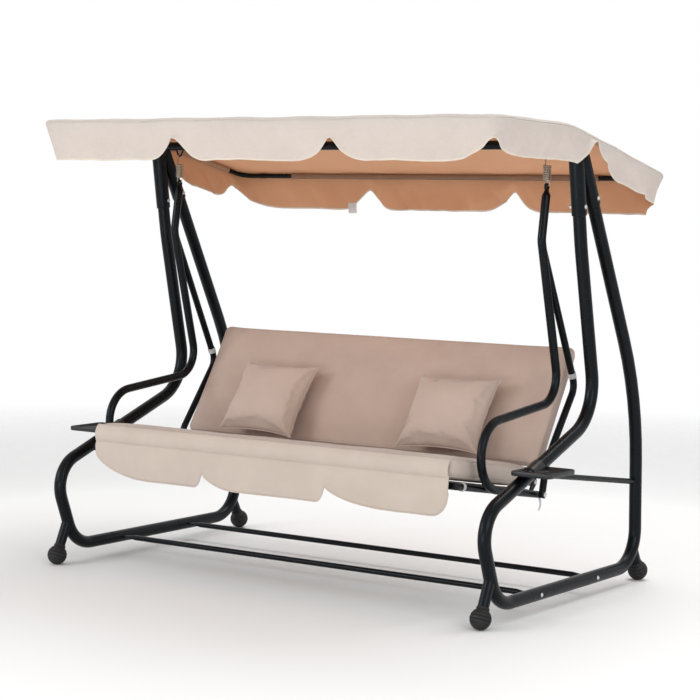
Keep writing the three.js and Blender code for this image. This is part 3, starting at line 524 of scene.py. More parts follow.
def crossbar(which):
    """The crossbar's ends are pressed flat where they are bolted to the base rails."""
    y = CROSSBAR_Y[which]
    half = FRAME_X - LEG_R + 0.002
    stops = [-half, -half + 0.028, -half + 0.055, 0.0, half - 0.055, half - 0.028, half]
    points, faces = sweep([(x, y, BASE_Z) for x in stops], CROSSBAR_R, 24)
    flat = []
    for x, py, pz in points:
        press = limited((abs(x) - (half - 0.055)) / 0.027)
        flat.append((x, y + (py - y) * (1 + 0.30 * press), BASE_Z + (pz - BASE_Z) * (1 - 0.45 * press)))
    return painted(Shape(flat, faces), f"{which}_cross_tube", "stand", f"{which}_crossbar")


def top_beam():
    end = FRAME_X + SLEEVE_R
    shape = Shape(*tube([(-end, BEAM_Y, BEAM_Z), (end, BEAM_Y, BEAM_Z)], (), BEAM_R))
    return painted(shape, "beam_tube", "stand", "top_beam")


def hanger_eye(side, s):
    """The wire V under the beam, welded on at both ends."""
    x = s * ARM_X
    top = BEAM_Z - BEAM_R + 0.004
    corners = [(x - 0.018, BEAM_Y, top), (x, BEAM_Y, PIVOT_Z - 0.0095), (x + 0.018, BEAM_Y, top)]
    shape = Shape(*sweep(bent(corners, (0.008,)), 0.003, 16))
    for end in (corners[0], corners[2]):
        rows = [(-0.002, 0.0035), (0.0, 0.006), (0.002, 0.0058), (0.0045, 0.0034)]
        shape.add(*turned(rows, end, (0, 0, -1), 18))
    return painted(shape, f"{side}_v_hook", "stand", f"{side}_hanger_eye")


def tray_arm(side, s):
    shape = Shape(*sweep(in_plane(s * FRAME_X, TRAY_ARM), TRAY_ARM_R))
    return painted(shape, f"{side}_tray_tube", "stand", f"{side}_tray_arm")


def round_rect(x0, y0, x1, y1, radius, step=6):
    """The outline of a rectangle with round corners, anticlockwise."""
    points = []
    for cx, cy, start in ((x1, y0, -90), (x1, y1, 0), (x0, y1, 90), (x0, y0, 180)):
        mx = cx - math.copysign(radius, cx - (x0 + x1) / 2)
        my = cy - math.copysign(radius, cy - (y0 + y1) / 2)
        for k in range(step + 1):
            a = math.radians(start + 90 * k / step)
            points.append((mx + radius * math.cos(a), my + radius * math.sin(a)))
    return points


TRAY_FLOOR = 0.0083
TRAY_CORNER_R = 0.018
CUP = (0.076, -0.268)
CUP_RADII = (0.036, 0.027)
COLLAR_PLACE = (-0.236, 0.478)
COLLAR_SLOPE = (0, 0.759, 0.278)


def tray(side, s):
    """A moulded tray: a rolled rim, a sunken floor with a ring for a cup, and a collar round the leg."""
    x0, x1 = sorted(s * x for x in TRAY_X)
    y0, y1 = TRAY_Y
    low = TRAY_TOP_Z - TRAY_THICK
    floor_z = TRAY_TOP_Z - TRAY_FLOOR
    rows = ((0.010, low), (0.002, low + 0.001), (0.0, low + 0.004), (0.0, TRAY_TOP_Z - 0.003),
            (0.001, TRAY_TOP_Z - 0.0008), (0.003, TRAY_TOP_Z), (0.005, TRAY_TOP_Z - 0.0008),
            (0.007, TRAY_TOP_Z - 0.004), (0.010, TRAY_TOP_Z - 0.0078), (0.014, floor_z))
    rings = []
    for inset, z in rows:
        outline = round_rect(x0 + inset, y0 + inset, x1 - inset, y1 - inset, TRAY_CORNER_R - inset * 0.6, 8)
        rings.append([(x, y, z) for x, y in outline])
    shape = Shape(*loft(rings))
    cup = (s * (FRAME_X + CUP[0]), CUP[1], floor_z)
    for radius in CUP_RADII:
        ring = [(-0.0005, radius + 0.003), (0.0016, radius + 0.002), (0.0021, radius + 0.001),
                (0.0016, radius), (-0.0005, radius - 0.001)]
        shape.add(*turned(ring, cup, (0, 0, 1), 56, capped=False))
    thin, thick = LEG_R + 0.0008, LEG_R + 0.0032
    collar = [(-0.030, thin), (-0.029, thick), (0.034, thick), (0.036, thin)]
    shape.add(*turned(collar, (s * FRAME_X, *COLLAR_PLACE), COLLAR_SLOPE, 40))
    return ride(shape.piece(f"{side}_side_tray", PLASTIC), "stand", "black_plastic", f"{side}_tray")


def grip_lobes(a):
    return 1 - 0.10 * (1 - math.cos(6 * a)) / 2


def knob(side, s):
    """A lobed grip; the stud that it turns on belongs to the canopy's plate."""
    face = CANOPY_TUBE_X - CANOPY_TUBE_R - GAP + 0.0006
    rows = ((0.0, 0.009), (0.001, 0.0105), (0.0035, 0.0118), (0.0105, 0.0118), (0.0125, 0.0105),
            (0.0132, 0.0075), (0.0120, 0.0040))
    grip = [(s * (face + along), radius) for along, radius in rows]
    shape = Shape(*turned(grip, (0, BEAM_Y, BEAM_Z), (1, 0, 0), 72, grip_lobes))
    made = shape.piece(f"{side}_knob_grip", PLASTIC)
    return ride(made, f"{side}_knob", "black_plastic", f"{side}_tilt_knob")


def stand():
    for side, s in SIDES:
        for which in ("front", "rear"):
            leg(side, s, which)
            foot(side, s, which)
        base_rail(side, s)
        bracket(side, s)
        stand_bolts(side, s)
        hanger_eye(side, s)
        tray_arm(side, s)
        tray(side, s)
        knob(side, s)
    crossbar("front")
    crossbar("rear")
    top_beam()


# ---------------------------------------------------------------- springs and hangers
ARM_PATH = ((0.002, 1.386), (-0.024, 1.235), (0.121, 0.681), (-0.393, 0.633), (-0.393, 0.4263),
            (-0.205, 0.3955))
ARM_RADII = (0.070, 0.095, 0.117, 0.117)
ARM_SIDES = 32
REAR_HANGER_PATH = ((-0.0149, 1.212), (0.230, 0.717), (0.038, 0.466), (0.010, 0.348))
STRAP_HEIGHTS = (0.751, 0.768)
COIL_GAP = 0.0022
HOOK_REACH = 0.008


def spring(side, s):
    """A close-wound coil with a hook at each end; it stretches from the pivot to the arm."""
    x = s * ARM_X
    coil_r = SPRING_R - SPRING_WIRE_R
    height = SPRING_TOP_Z - SPRING_BOTTOM_Z
    turns = round(height / (2 * SPRING_WIRE_R + COIL_GAP))
    around = 24
    path = []
    for k in range(turns * around + 1):
        a = 2 * math.pi * k / around
        z = SPRING_TOP_Z - 0.002 - (height - 0.004) * k / (turns * around)
        path.append(Vector((x - coil_r * math.sin(a), BEAM_Y - coil_r * math.cos(a), z)))
    top = PIVOT_Z + 0.003 + 0.0012 + SPRING_WIRE_R
    reach = HOOK_REACH
    upper = bent([path[0], (x, BEAM_Y - reach - 0.003, SPRING_TOP_Z + 0.006), (x, BEAM_Y - reach, top),
                  (x, BEAM_Y + reach, top), (x, BEAM_Y + reach, PIVOT_Z - 0.008)],
                 (0.003, reach * 0.96, reach * 0.96), math.radians(12))
    low = EYE_Z + 0.007 - 0.001 - SPRING_WIRE_R
    lower = bent([path[-1], (x + s * 0.010, BEAM_Y, SPRING_BOTTOM_Z - 0.004), (x + s * 0.010, BEAM_Y, low),
                  (x - s * 0.010, BEAM_Y, low), (x - s * 0.010, BEAM_Y, low + 0.010)],
                 (0.003, 0.005, 0.005), math.radians(12))
    shape = Shape(*sweep(upper[::-1] + path[1:-1] + lower, SPRING_WIRE_R, 10))
    made = shape.piece(f"{side}_coil_spring", SPRING_ZINC)
    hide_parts(f"{side}_spring")
    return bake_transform(made)


def pressed_top(x):
    """Rings from the arm's round top to the flat that holds the spring's eye."""
    steps = 8
    angles = [2 * math.pi * i / ARM_SIDES for i in range(ARM_SIDES)]
    rings = []
    for k in range(steps + 1):
        t = k / steps
        ease = t * t * (3 - 2 * t)
        centre = Vector((x, 0.002 + 0.003 * t, 1.384 + 0.024 * t))
        thick = ARM_R + (0.004 - ARM_R) * ease
        wide = ARM_R + (0.0125 - ARM_R) * ease
        rings.append([centre + Vector((thick * math.cos(a), wide * math.sin(a), 0)) for a in angles])
    return rings


def hanger_arm(side, s):
    """The armrest tube; its top is pressed flat round the spring's eye."""
    x = s * ARM_X
    shape = Shape(*tube(in_plane(x, ARM_PATH), ARM_RADII, ARM_R, ARM_SIDES))
    shape.add(*loft(pressed_top(x)))
    eye = [(-0.0038, 0.0072), (-0.0038, 0.0122), (-0.003, 0.0130), (0.003, 0.0130), (0.0038, 0.0122),
           (0.0038, 0.0072), (-0.0038, 0.0072)]
    shape.add(*turned(eye, (x, BEAM_Y, EYE_Z), (1, 0, 0), 40, capped=False))
    return painted(shape, f"{side}_arm_tube", "seat", f"{side}_hanger_arm")


def rear_hanger(side, s):
    shape = Shape(*tube(in_plane(s * ARM_X, REAR_HANGER_PATH), (0.055, 0.060), HANGER_R))
    return painted(shape, f"{side}_rear_hanger_tube", "seat", f"{side}_rear_hanger")


def strap(side, s):
    """White webbing wound once round the rear hanger."""
    low, high = STRAP_HEIGHTS
    top, knee = (Vector(p) for p in in_plane(s * ARM_X, REAR_HANGER_PATH[:2]))
    along = (top - knee).normalized()
    centre = knee + along * ((low - knee.z) / along.z)
    width = (high - low) / along.z
    rows = [(0.0, HANGER_R + 0.0004), (0.0003, HANGER_R + 0.0022), (width - 0.0003, HANGER_R + 0.0022),
            (width, HANGER_R + 0.0004)]
    shape = Shape(*turned(rows, centre, along, 36))
    return sewn(shape, f"{side}_hanger_strap", WEBBING, "seat", "pillow_fabric")


# ---------------------------------------------------------------- seat and backrest frames
SEAT_PLACE = Matrix.Translation(SEAT_FRONT) @ Matrix.Rotation(-SEAT_TILT, 4, "X")
BACK_PLACE = Matrix.Translation(HINGE) @ Matrix.Rotation(-BACK_TILT, 4, "X")
SUPPORT_Z = -0.003
CROSS_TUBE_R = 0.008
BACK_BEND_R = 0.060
BACK_LOW_Z = -0.013
BACK_BAR_Z = 0.045


def seat_frame():
    """Rails round the seat, drawn on the seat's own plane."""
    inner = SEAT_RAIL_X - SEAT_RAIL_R * 0.6
    for name, y in (("front", 0.0), ("rear", SEAT_DEPTH)):
        shape = Shape(*sweep([(-inner, y, 0), (inner, y, 0)], SEAT_RAIL_R))
        painted(shape, f"seat_{name}_tube", "seat", f"seat_{name}_rail", place=SEAT_PLACE)
    for side, s in SIDES:
        x = s * SEAT_RAIL_X
        shape = Shape(*tube([(x, -SEAT_RAIL_R, 0), (x, SEAT_DEPTH + SEAT_RAIL_R, 0)], (), SEAT_RAIL_R))
        painted(shape, f"seat_{side}_tube", "seat", f"seat_{side}_rail", place=SEAT_PLACE)
    ends = [(0, SEAT_RAIL_R, SUPPORT_Z), (0, SEAT_DEPTH - SEAT_RAIL_R, SUPPORT_Z)]
    shape = Shape(*sweep(ends, CROSS_TUBE_R, 20))
    return painted(shape, "seat_middle_tube", "seat", "seat_support", place=SEAT_PLACE)


def seat_bolts(side, s):
    shape = Shape()
    for radius, y, z in ((ARM_R, -0.232, 0.400), (HANGER_R, 0.013, 0.360)):
        dome_head(shape, (s * (ARM_X + radius - 0.0008), y, z), (s, 0, 0), 0.007, 0.004)
    ride(shape.piece(f"{side}_seat_bolts", BOLT_ZINC), "seat", "fasteners")
    shape = dome_head(Shape(), (s * 0.7553, HINGE.y, HINGE.z), (s, 0, 0), 0.0062, 0.0034)
    shape.add(*sweep([(s * 0.756, HINGE.y, HINGE.z), (s * 0.722, HINGE.y, HINGE.z)], 0.0039, 16))
    return ride(shape.piece(f"{side}_hinge_pin", BOLT_ZINC), "seat", "fasteners", f"{side}_recline_pin")


def backrest_frame():
    left, right = -BACK_TUBE_X, BACK_TUBE_X
    corners = [(left, 0, BACK_LOW_Z), (left, 0, BACK_HEIGHT), (right, 0, BACK_HEIGHT), (right, 0, BACK_LOW_Z)]
    shape = Shape(*tube(corners, (BACK_BEND_R, BACK_BEND_R), BACK_TUBE_R))
    replaced = ("backrest_left_tube", "backrest_right_tube", "backrest_top_bar")
    painted(shape, "backrest_hoop", "backrest", *replaced, place=BACK_PLACE)
    inner = BACK_TUBE_X - BACK_TUBE_R * 0.6
    shape = Shape(*sweep([(-inner, 0, BACK_BAR_Z), (inner, 0, BACK_BAR_Z)], CROSS_TUBE_R, 20))
    return painted(shape, "backrest_lower_tube", "backrest", "backrest_lower_bar", place=BACK_PLACE)


def bench_frame():
    for side, s in SIDES:
        spring(side, s)
        hanger_arm(side, s)
        rear_hanger(side, s)
        seat_bolts(side, s)
        strap(side, s)
    seat_frame()
    backrest_frame()


# ---------------------------------------------------------------- cloth helpers
def weave_map(piece):
    """A map in metres for the weave: each face takes the two coordinates that it lies flattest in."""
    mesh = piece.data
    layer = mesh.uv_layers.get("weave") or mesh.uv_layers.new(name="weave")
    points = np.empty(len(mesh.vertices) * 3, np.float32)
    mesh.vertices.foreach_get("co", points)
    points = points.reshape(-1, 3)
    corners = np.empty(len(mesh.loops), np.int32)
    mesh.loops.foreach_get("vertex_index", corners)
    normals = np.empty(len(mesh.polygons) * 3, np.float32)
    mesh.polygons.foreach_get("normal", normals)
    sizes = np.empty(len(mesh.polygons), np.int32)
    mesh.polygons.foreach_get("loop_total", sizes)
    main = np.repeat(np.abs(normals.reshape(-1, 3)).argmax(axis=1), sizes)
    at = points[corners]
    first = np.where(main == 0, at[:, 1], at[:, 0])
    second = np.where(main == 2, at[:, 1], at[:, 2])
    layer.data.foreach_set("uv", np.stack([first, second], axis=1).ravel())


def fixed(piece):
    """Puts the result of a piece's modifiers into its mesh."""
    graph = bpy.context.evaluated_depsgraph_get()
    made = bpy.data.meshes.new_from_object(piece.evaluated_get(graph))
    piece.modifiers.clear()
    piece.data = made
    return piece


def smoothed(piece):
    piece.data.polygons.foreach_set("use_smooth", [True] * len(piece.data.polygons))
    piece.data.update()


def subdivided(piece):
    piece.modifiers.new("Finer", "SUBSURF").levels = 1
    smoothed(fixed(piece))


def thickened(piece, thickness, offset=-1, **settings):
    """Gives a sheet its thickness."""
    thick = piece.modifiers.new("Thickness", "SOLIDIFY")
    thick.thickness = thickness
    thick.offset = offset
    for name, value in settings.items():
        setattr(thick, name, value)
    return fixed(piece)


def coordinates(piece):
    found = np.empty(len(piece.data.vertices) * 3)
    piece.data.vertices.foreach_get("co", found)
    return found.reshape(-1, 3)


def move_to(piece, points):
    piece.data.vertices.foreach_set("co", np.asarray(points).ravel())
    piece.data.update()


def inflate(piece, pressure, frames, cap, tension=15.0, bending=0.5, mass=0.3):
    """Cloth under air pressure with no gravity; no point moves further than cap."""
    before = coordinates(piece)
    cloth = piece.modifiers.new("Cloth", "CLOTH")
    settings = cloth.settings
    settings.quality = 5
    settings.mass = mass
    settings.tension_stiffness = tension
    settings.compression_stiffness = tension
    settings.shear_stiffness = tension / 3
    settings.bending_stiffness = bending
    settings.use_pressure = True
    settings.uniform_pressure_force = pressure
    settings.effector_weights.gravity = 0
    cloth.collision_settings.use_collision = False
    cloth.point_cache.frame_start = 1
    cloth.point_cache.frame_end = frames
    for number in range(1, frames + 1):
        bpy.context.scene.frame_set(number)
    fixed(piece)
    bpy.context.scene.frame_set(1)
    move = coordinates(piece) - before
    length = np.linalg.norm(move, axis=1, keepdims=True)
    move_to(piece, before + move * np.minimum(1.0, cap / np.maximum(length, 1e-9)))
    return piece


def remeshed(piece, voxel):
    remesh = piece.modifiers.new("Remesh", "REMESH")
    remesh.mode = "VOXEL"
    remesh.voxel_size = voxel
    return fixed(piece)


# ---------------------------------------------------------------- canopy
def tube_height(y):
    """Height of the canopy's side tubes; two slopes joined softly at the ridge."""
    run = y - CANOPY_RIDGE_Y
    front = CANOPY_RIDGE_Z + run * (CANOPY_RIDGE_Z - CANOPY_FRONT_Z) / (CANOPY_TUBE_Y + CANOPY_RIDGE_Y)
    rear = CANOPY_RIDGE_Z + run * (CANOPY_REAR_Z - CANOPY_RIDGE_Z) / (CANOPY_TUBE_Y - CANOPY_RIDGE_Y)
    return (front + rear) / 2 - np.hypot((front - rear) / 2, 0.004)


CANOPY_BAR_HALF = CANOPY_TUBE_X - 0.110


def canopy_frame():
    front, rear = -CANOPY_TUBE_Y, CANOPY_TUBE_Y
    for side, s in SIDES:
        x, inner = s * CANOPY_TUBE_X, s * CANOPY_BAR_HALF
        corners = [(inner, front, tube_height(front)), (x, front, tube_height(front)),
                   (x, CANOPY_RIDGE_Y, CANOPY_RIDGE_Z), (x, rear, tube_height(rear)),
                   (inner, rear, tube_height(rear))]
        shape = Shape(*tube(corners, (0.050, 0.800, 0.050), CANOPY_TUBE_R))
        painted(shape, f"canopy_{side}_hoop", "canopy", f"canopy_{side}_tube")
    ferrule = CANOPY_TUBE_R + 0.0012
    rows = [(-0.014, CANOPY_TUBE_R), (-0.013, ferrule), (0.013, ferrule), (0.014, CANOPY_TUBE_R)]
    for name, y in (("front", front), ("rear", rear)):
        ends = [(s * CANOPY_BAR_HALF, y, tube_height(y)) for s in (-1, 1)]
        painted(Shape(*tube(ends, (), CANOPY_TUBE_R)), f"canopy_{name}_rod", "canopy", f"canopy_{name}_bar")
        shape = Shape()
        for end in ends:
            shape.add(*turned(rows, end, (1, 0, 0), 28))
        painted(shape, f"canopy_{name}_ferrules", "canopy")


def canopy_stops(half, count):
    """Grid lines: close together over the round corners and even between them."""
    corner = np.linspace(0, CANOPY_CORNER_R, 8)
    straight = half - CANOPY_CORNER_R
    middle = np.linspace(-straight, straight, count)
    return np.concatenate([-half + corner[:-1], middle, straight + corner[1:]])


def canopy_plan():
    """Plan of the roof, its outer squares bent into round corners, and how far in each point is."""
    across = canopy_stops(CANOPY_HALF_WIDTH, 171)
    along = canopy_stops(CANOPY_HALF_DEPTH, 105)
    x, y = np.meshgrid(across, along)
    r = CANOPY_CORNER_R
    a = np.clip((np.abs(x) - (CANOPY_HALF_WIDTH - r)) / r, 0, 1)
    b = np.clip((np.abs(y) - (CANOPY_HALF_DEPTH - r)) / r, 0, 1)
    bent_a = a * np.sqrt(1 - b**2 / 2)
    bent_b = b * np.sqrt(1 - a**2 / 2)
    x = np.sign(x) * (np.minimum(np.abs(x), CANOPY_HALF_WIDTH - r) + r * bent_a)
    y = np.sign(y) * (np.minimum(np.abs(y), CANOPY_HALF_DEPTH - r) + r * bent_b)
    return x, y, r * (1 - np.hypot(bent_a, bent_b))


ROOF_RISE = CANOPY_TUBE_R + 0.0068
ROOF_EDGE_R = 0.014


def roof_height(x, y, inset):
    """The roof lies on its tubes, sags a little between them and turns down round the rim."""
    level = tube_height(np.clip(y, -CANOPY_TUBE_Y, CANOPY_TUBE_Y))
    u = np.clip(x / CANOPY_TUBE_X, -1, 1)
    v = np.clip(y / CANOPY_TUBE_Y, -1, 1)
    sag = 0.020 * (1 - u**4) * (1 - v**4)
    pull = 0.0020 * np.sin(x * 23 + 3 * np.sin(y * 7)) * np.abs(v) ** 3 * (1 - u**8)
    pull += 0.0018 * np.sin(y * 31 + 2 * np.sin(x * 9)) * np.abs(u) ** 6 * (1 - v**8)
    down = np.maximum(0, ROOF_EDGE_R - inset)
    turn = ROOF_EDGE_R - np.sqrt(ROOF_EDGE_R**2 - down**2)
    fade = np.clip(inset / 0.030, 0, 1)
    slack = np.abs(np.sin(x * 6.5 + 1.7) * np.sin(x * 15 + y * 5) + 0.6 * np.sin(y * 13 + x)) * (1 - fade)
    return level + ROOF_RISE - turn + (pull - sag) * fade - 0.0034 * slack


# Where the valance is cut up towards the roof: x, y, drop left there, reach of the cut towards the front and
# towards the rear, and how pointed it is. The front left and rear right corners are not cut.
CORNER_IN = CANOPY_CORNER_R * (1 - math.sqrt(0.5))
NOTCHES = [(CANOPY_HALF_WIDTH - CORNER_IN, CORNER_IN - CANOPY_HALF_DEPTH, 0.072, 0.150, 0.150, 2.1),
           (-CANOPY_HALF_WIDTH, 0.535, 0.064, 0.110, 0.185, 1.9)]
NOTCHES += [(s * CANOPY_HALF_WIDTH, 0.020, 0.022, 0.105, 0.200, 1.7) for s in (-1, 1)]
NOTCHES += [(s * 0.331, t * CANOPY_HALF_DEPTH, 0.066, 0.130, 0.130, 2.5) for s in (-1, 1) for t in (-1, 1)]
LEFT_DROPS = (0.112, 0.128)
RIGHT_DROPS = (0.122, 0.112)


def valance_drop(x, y):
    """Length of the valance at a point of the rim; the sides are a little shorter than the front and rear."""
    ahead, astern = LEFT_DROPS if x < 0 else RIGHT_DROPS
    side = ahead + (astern - ahead) * limited(y / 0.05)
    full = VALANCE_DROP + (side - VALANCE_DROP) * limited((abs(x) - 0.915) / 0.06)
    drop = full
    for nx, ny, left, before, behind, power in NOTCHES:
        t = math.hypot(x - nx, y - ny) / (before if y < ny else behind)
        if t < 1:
            rise = (1 - max(0.0, math.sqrt(t * t + 0.008) - 0.09)) ** power
            drop = min(drop, full - (full - left) * min(1.0, rise))
    return drop


VALANCE_ROWS = 16


def valance_wave(s, part, drop):
    """How far the hanging cloth stands out at a distance s round the rim: slow waves, and sharper rucks."""
    slow = noise.noise(Vector((s * 3.1, part * 0.7, 3.0)))
    quick = noise.noise(Vector((s * 10.0, part * 1.2, 8.0)))
    ruck = max(0.0, 0.35 - abs(noise.noise(Vector((s * 7.0 + part * 0.6, 2.0, 21.0))))) ** 2
    near = 1 - drop / VALANCE_DROP
    return part**1.2 * (0.024 * slow + 0.012 * quick) + 0.110 * ruck * part**1.5 + near * part * 0.004


def hem_wander(s):
    """How far the hem strays up or down from its line."""
    slow = noise.noise(Vector((s * 5.0, 31.0, 0.0)))
    return 0.0045 * slow + 0.0020 * noise.noise(Vector((s * 19.0, 5.0, 7.0)))


def corner_lean(x, y):
    """How much further in the valance hangs near the corners; most at the rear right one."""
    near = max(0.0, 1 - math.hypot(abs(x) - CANOPY_HALF_WIDTH, abs(y) - CANOPY_HALF_DEPTH) / 0.20)
    return near * (0.058 if x > 0 and y > 0 else 0.024)


def rim_order(rows, columns):
    """Numbers of the grid's outer points, anticlockwise seen from above."""
    south = [c for c in range(columns)]
    east = [r * columns + columns - 1 for r in range(1, rows)]
    north = [(rows - 1) * columns + c for c in range(columns - 2, -1, -1)]
    west = [r * columns for r in range(rows - 2, 0, -1)]
    return south + east + north + west


def outward(loop):
    """Level unit vectors out of a closed anticlockwise loop."""
    ahead = np.roll(loop, -1, axis=0) - np.roll(loop, 1, axis=0)
    out = np.stack([ahead[:, 1], -ahead[:, 0]], axis=1)
    return out / np.linalg.norm(out, axis=1, keepdims=True)


HEM_TAPER = 0.3


def valance_point(plan, out, top, travelled, total, part):
    """A point of the valance, part of the way down from the roof's rim at plan and height top."""
    px, py = plan
    drop = valance_drop(px, py)
    blend = min(1.0, travelled / HEM_TAPER, (total - travelled) / HEM_TAPER)
    level = tube_height(min(max(py, -CANOPY_TUBE_Y), CANOPY_TUBE_Y))
    low = level + CANOPY_TUBE_R + 0.002 - drop - hem_wander(travelled) * blend
    lean = (VALANCE_TAPER + corner_lean(px, py)) * part * drop / VALANCE_DROP
    shift = valance_wave(travelled, part, drop) * blend - lean
    return px + out[0] * shift, py + out[1] * shift, top + (low - top) * part


def canopy_cloth():
    """Roof and valance as one sheet: the roof's rim carries on down, row by row, to the hem."""
    x, y, inset = canopy_plan()
    rows, columns = x.shape
    points = list(zip(x.ravel(), y.ravel(), roof_height(x, y, inset).ravel()))
    faces = grid_faces(rows, columns)
    rim = rim_order(rows, columns)
    count = len(rim)
    plan = np.array([points[i][:2] for i in rim])
    out = outward(plan)
    steps = np.linalg.norm(np.roll(plan, -1, axis=0) - plan, axis=1)
    travelled = np.concatenate([[0], np.cumsum(steps)[:-1]])
    total = steps.sum()
    lines = [rim]
    for k in range(1, VALANCE_ROWS + 1):
        above, below = lines[-1], range(len(points), len(points) + count)
        for i in range(count):
            top = points[rim[i]][2]
            points.append(valance_point(plan[i], out[i], top, travelled[i], total, k / VALANCE_ROWS))
        faces += [(above[i], below[i], below[(i + 1) % count], above[(i + 1) % count]) for i in range(count)]
        lines.append(below)
    # The inner face takes the cloth whose orange base colour is painted through-light.
    made = Shape(points, faces).piece("canopy_sheet", CANOPY_OUT, CANOPY_INSIDE_PAINTED_GLOW, recalculated=False)
    thickened(made, 0.0014, material_offset=1, material_offset_rim=0)
    weave_map(made)
    ride(made, "canopy", "canopy_fabric", "canopy_cover")
    welt_line, upper, lower = (np.array([points[i] for i in lines[k]]) for k in (0, -2, -1))
    hem = edge_band(lower, upper, out)
    welt = rim_welt(welt_line, out)


HEM_WIDTH = 0.0055
HEM_THICK = 0.0012
HEM_SECTION = ((-0.3, HEM_WIDTH), (-0.9, HEM_WIDTH * 0.9), (-1.0, 0.001), (-0.6, -0.0012), (0.6, -0.0012),
               (1.0, 0.001), (0.9, HEM_WIDTH * 0.9), (0.3, HEM_WIDTH))


def edge_band(lower, upper, out):
    """A binding folded over the hanging edge, sewn flat on both faces."""
    up = upper - lower
    up /= np.linalg.norm(up, axis=1, keepdims=True)
    out3 = np.column_stack([out, np.zeros(len(out))])
    middle = lower - out3 * 0.0007
    sides = [middle + out3 * (side * HEM_THICK) + up * height for side, height in HEM_SECTION]
    shape = Shape(*loft(list(zip(*sides)), closed=True))
    return sewn(shape, "canopy_hem", BINDING, "canopy", "canopy_fabric")


def rim_welt(rim, out):
    """A thin corded seam where the valance is sewn to the roof."""
    out3 = np.column_stack([out, np.zeros(len(out))])
    line = rim - out3 * 0.0026 + np.array([0, 0, 0.0066])
    shape = Shape(*sweep(line[::2], 0.0012, 10, closed=True))
    return sewn(shape, "canopy_welt", CANOPY_OUT, "canopy", "canopy_fabric")


def pocket(name, path, seeds, material, clear, spread):
    """A pocket of cloth round one of the cover's tubes."""
    widths = [CANOPY_TUBE_R + clear + spread * (0.5 + noise.noise(Vector(seed))) for seed in seeds]
    sewn(Shape(*sweep(path, widths, 24)), f"canopy_{name}_pocket", material, "canopy", "canopy_fabric")


def pockets():
    """Pockets on the bars, dark brown with painted shade, whose ends stay bare, and pockets on the side tubes
    in the canopy's inner cloth, orange with painted through-light.
    """
    for name, y in (("front", -CANOPY_TUBE_Y), ("rear", CANOPY_TUBE_Y)):
        stops = np.linspace(-0.700, 0.700, 71)
        path = [(x, y, tube_height(y)) for x in stops]
        # The bar pockets, dark brown with painted shade.
        pocket(name, path, [(x * 9, y, 1.0) for x in stops], SHADED_POCKET_CLOTH, 0.0010, 0.0010)
    for side, s in SIDES:
        stops = np.linspace(-0.530, 0.490, 61)
        path = [(s * CANOPY_TUBE_X, y, tube_height(y)) for y in stops]
        # Side pockets in the inner cloth, whose orange is painted through-light.
        pocket(side, path, [(y * 9, s, 4.0) for y in stops], CANOPY_INSIDE_PAINTED_GLOW, 0.0007, 0.0008)


def tape_ring(centre, along, across):
    """The four corners of a tape's section."""
    return [centre + along * a + across * b for a, b in ((-1, 1), (1, 1), (1, -1), (-1, -1))]


def care_label():
    """A blank care label on the rear hem."""
    x, y = -0.400, CANOPY_HALF_DEPTH - VALANCE_TAPER
    top = tube_height(CANOPY_TUBE_Y) + CANOPY_TUBE_R - valance_drop(x, CANOPY_HALF_DEPTH) + 0.012
    half, drop, thick, rows = 0.020, 0.042, 0.0006, 8
    rings = []
    for part in (k / rows for k in range(rows + 1)):
        centre = Vector((x, y + 0.004 * part**2, top - drop * part))
        rings.append(tape_ring(centre, Vector((half, 0, 0)), Vector((0, thick / 2, 0))))
    sewn(Shape(*loft(rings)), "care_label", WEBBING, "canopy", "canopy_fabric")


def canopy():
    canopy_frame()
    canopy_cloth()
    pockets()
    care_label()


# ---------------------------------------------------------------- cushions
def rounded_box(low, high, corner):
    """A box with well rounded vertical corners and softly rounded edges."""
    low, high = Vector(low), Vector(high)
    made = bmesh.new()
    bmesh.ops.create_cube(made, size=1.0)
    bmesh.ops.scale(made, vec=high - low, verts=made.verts)
    bmesh.ops.translate(made, vec=(low + high) / 2, verts=made.verts)
    bmesh.ops.bevel(made, geom=made.edges[:], offset=corner, segments=6, profile=0.5, affect="EDGES")
    mesh = bpy.data.meshes.new("pad")
    made.to_mesh(mesh)
    made.free()
    return linked("pad", mesh)


def seam_on(piece, name, path, material, radius=0.0018):
    """A corded seam that follows a closed path laid on a piece's surface."""
    found = []
    for point in path:
        place, normal = piece.closest_point_on_mesh(point)[1:3]
        found.append(place + normal * radius * 0.45)
    made = Shape(*sweep(found, radius, 8, closed=True)).piece(name, material)
    weave_map(made)
    return made


def edge_path(low, high, corner, level, upright, step=0.012):
    """A closed path round a pad at one level; upright pads are drawn in the XZ plane."""
    a0, b0 = low
    a1, b1 = high
    outline = round_rect(a0, b0, a1, b1, corner, 6)
    path = []
    for (a, b), (c, d) in zip(outline, outline[1:] + outline[:1]):
        count = max(1, round(math.hypot(c - a, d - b) / step))
        for k in range(count):
            p, q = a + (c - a) * k / count, b + (d - b) * k / count
            path.append(Vector((p, level, q)) if upright else Vector((p, q, level)))
    return path


def soften(piece, depth, scale, axis):
    """Shallow dents where people have sat, as deep as depth on the broad faces."""
    points = coordinates(piece)
    normals = np.array([v.normal[axis] for v in piece.data.vertices])
    for i, point in enumerate(points):
        value = noise.noise(Vector(point) * scale) + 0.5 * noise.noise(Vector(point) * scale * 2.3)
        points[i, axis] += depth * value * normals[i]
    move_to(piece, points)


def filled_out(piece, low, high):
    """Stretches a piece evenly so that it takes up its whole box."""
    points = coordinates(piece)
    least, most = points.min(axis=0), points.max(axis=0)
    low, high = np.array(low), np.array(high)
    move_to(piece, low + (points - least) * (high - low) / (most - least))


def clad(piece, material):
    """Gives a piece its one cloth and its weave."""
    smoothed(piece)
    piece.data.materials.clear()
    piece.data.materials.append(material)
    weave_map(piece)


EDGE_INSET = 0.006
SEAM_INSET = 0.013


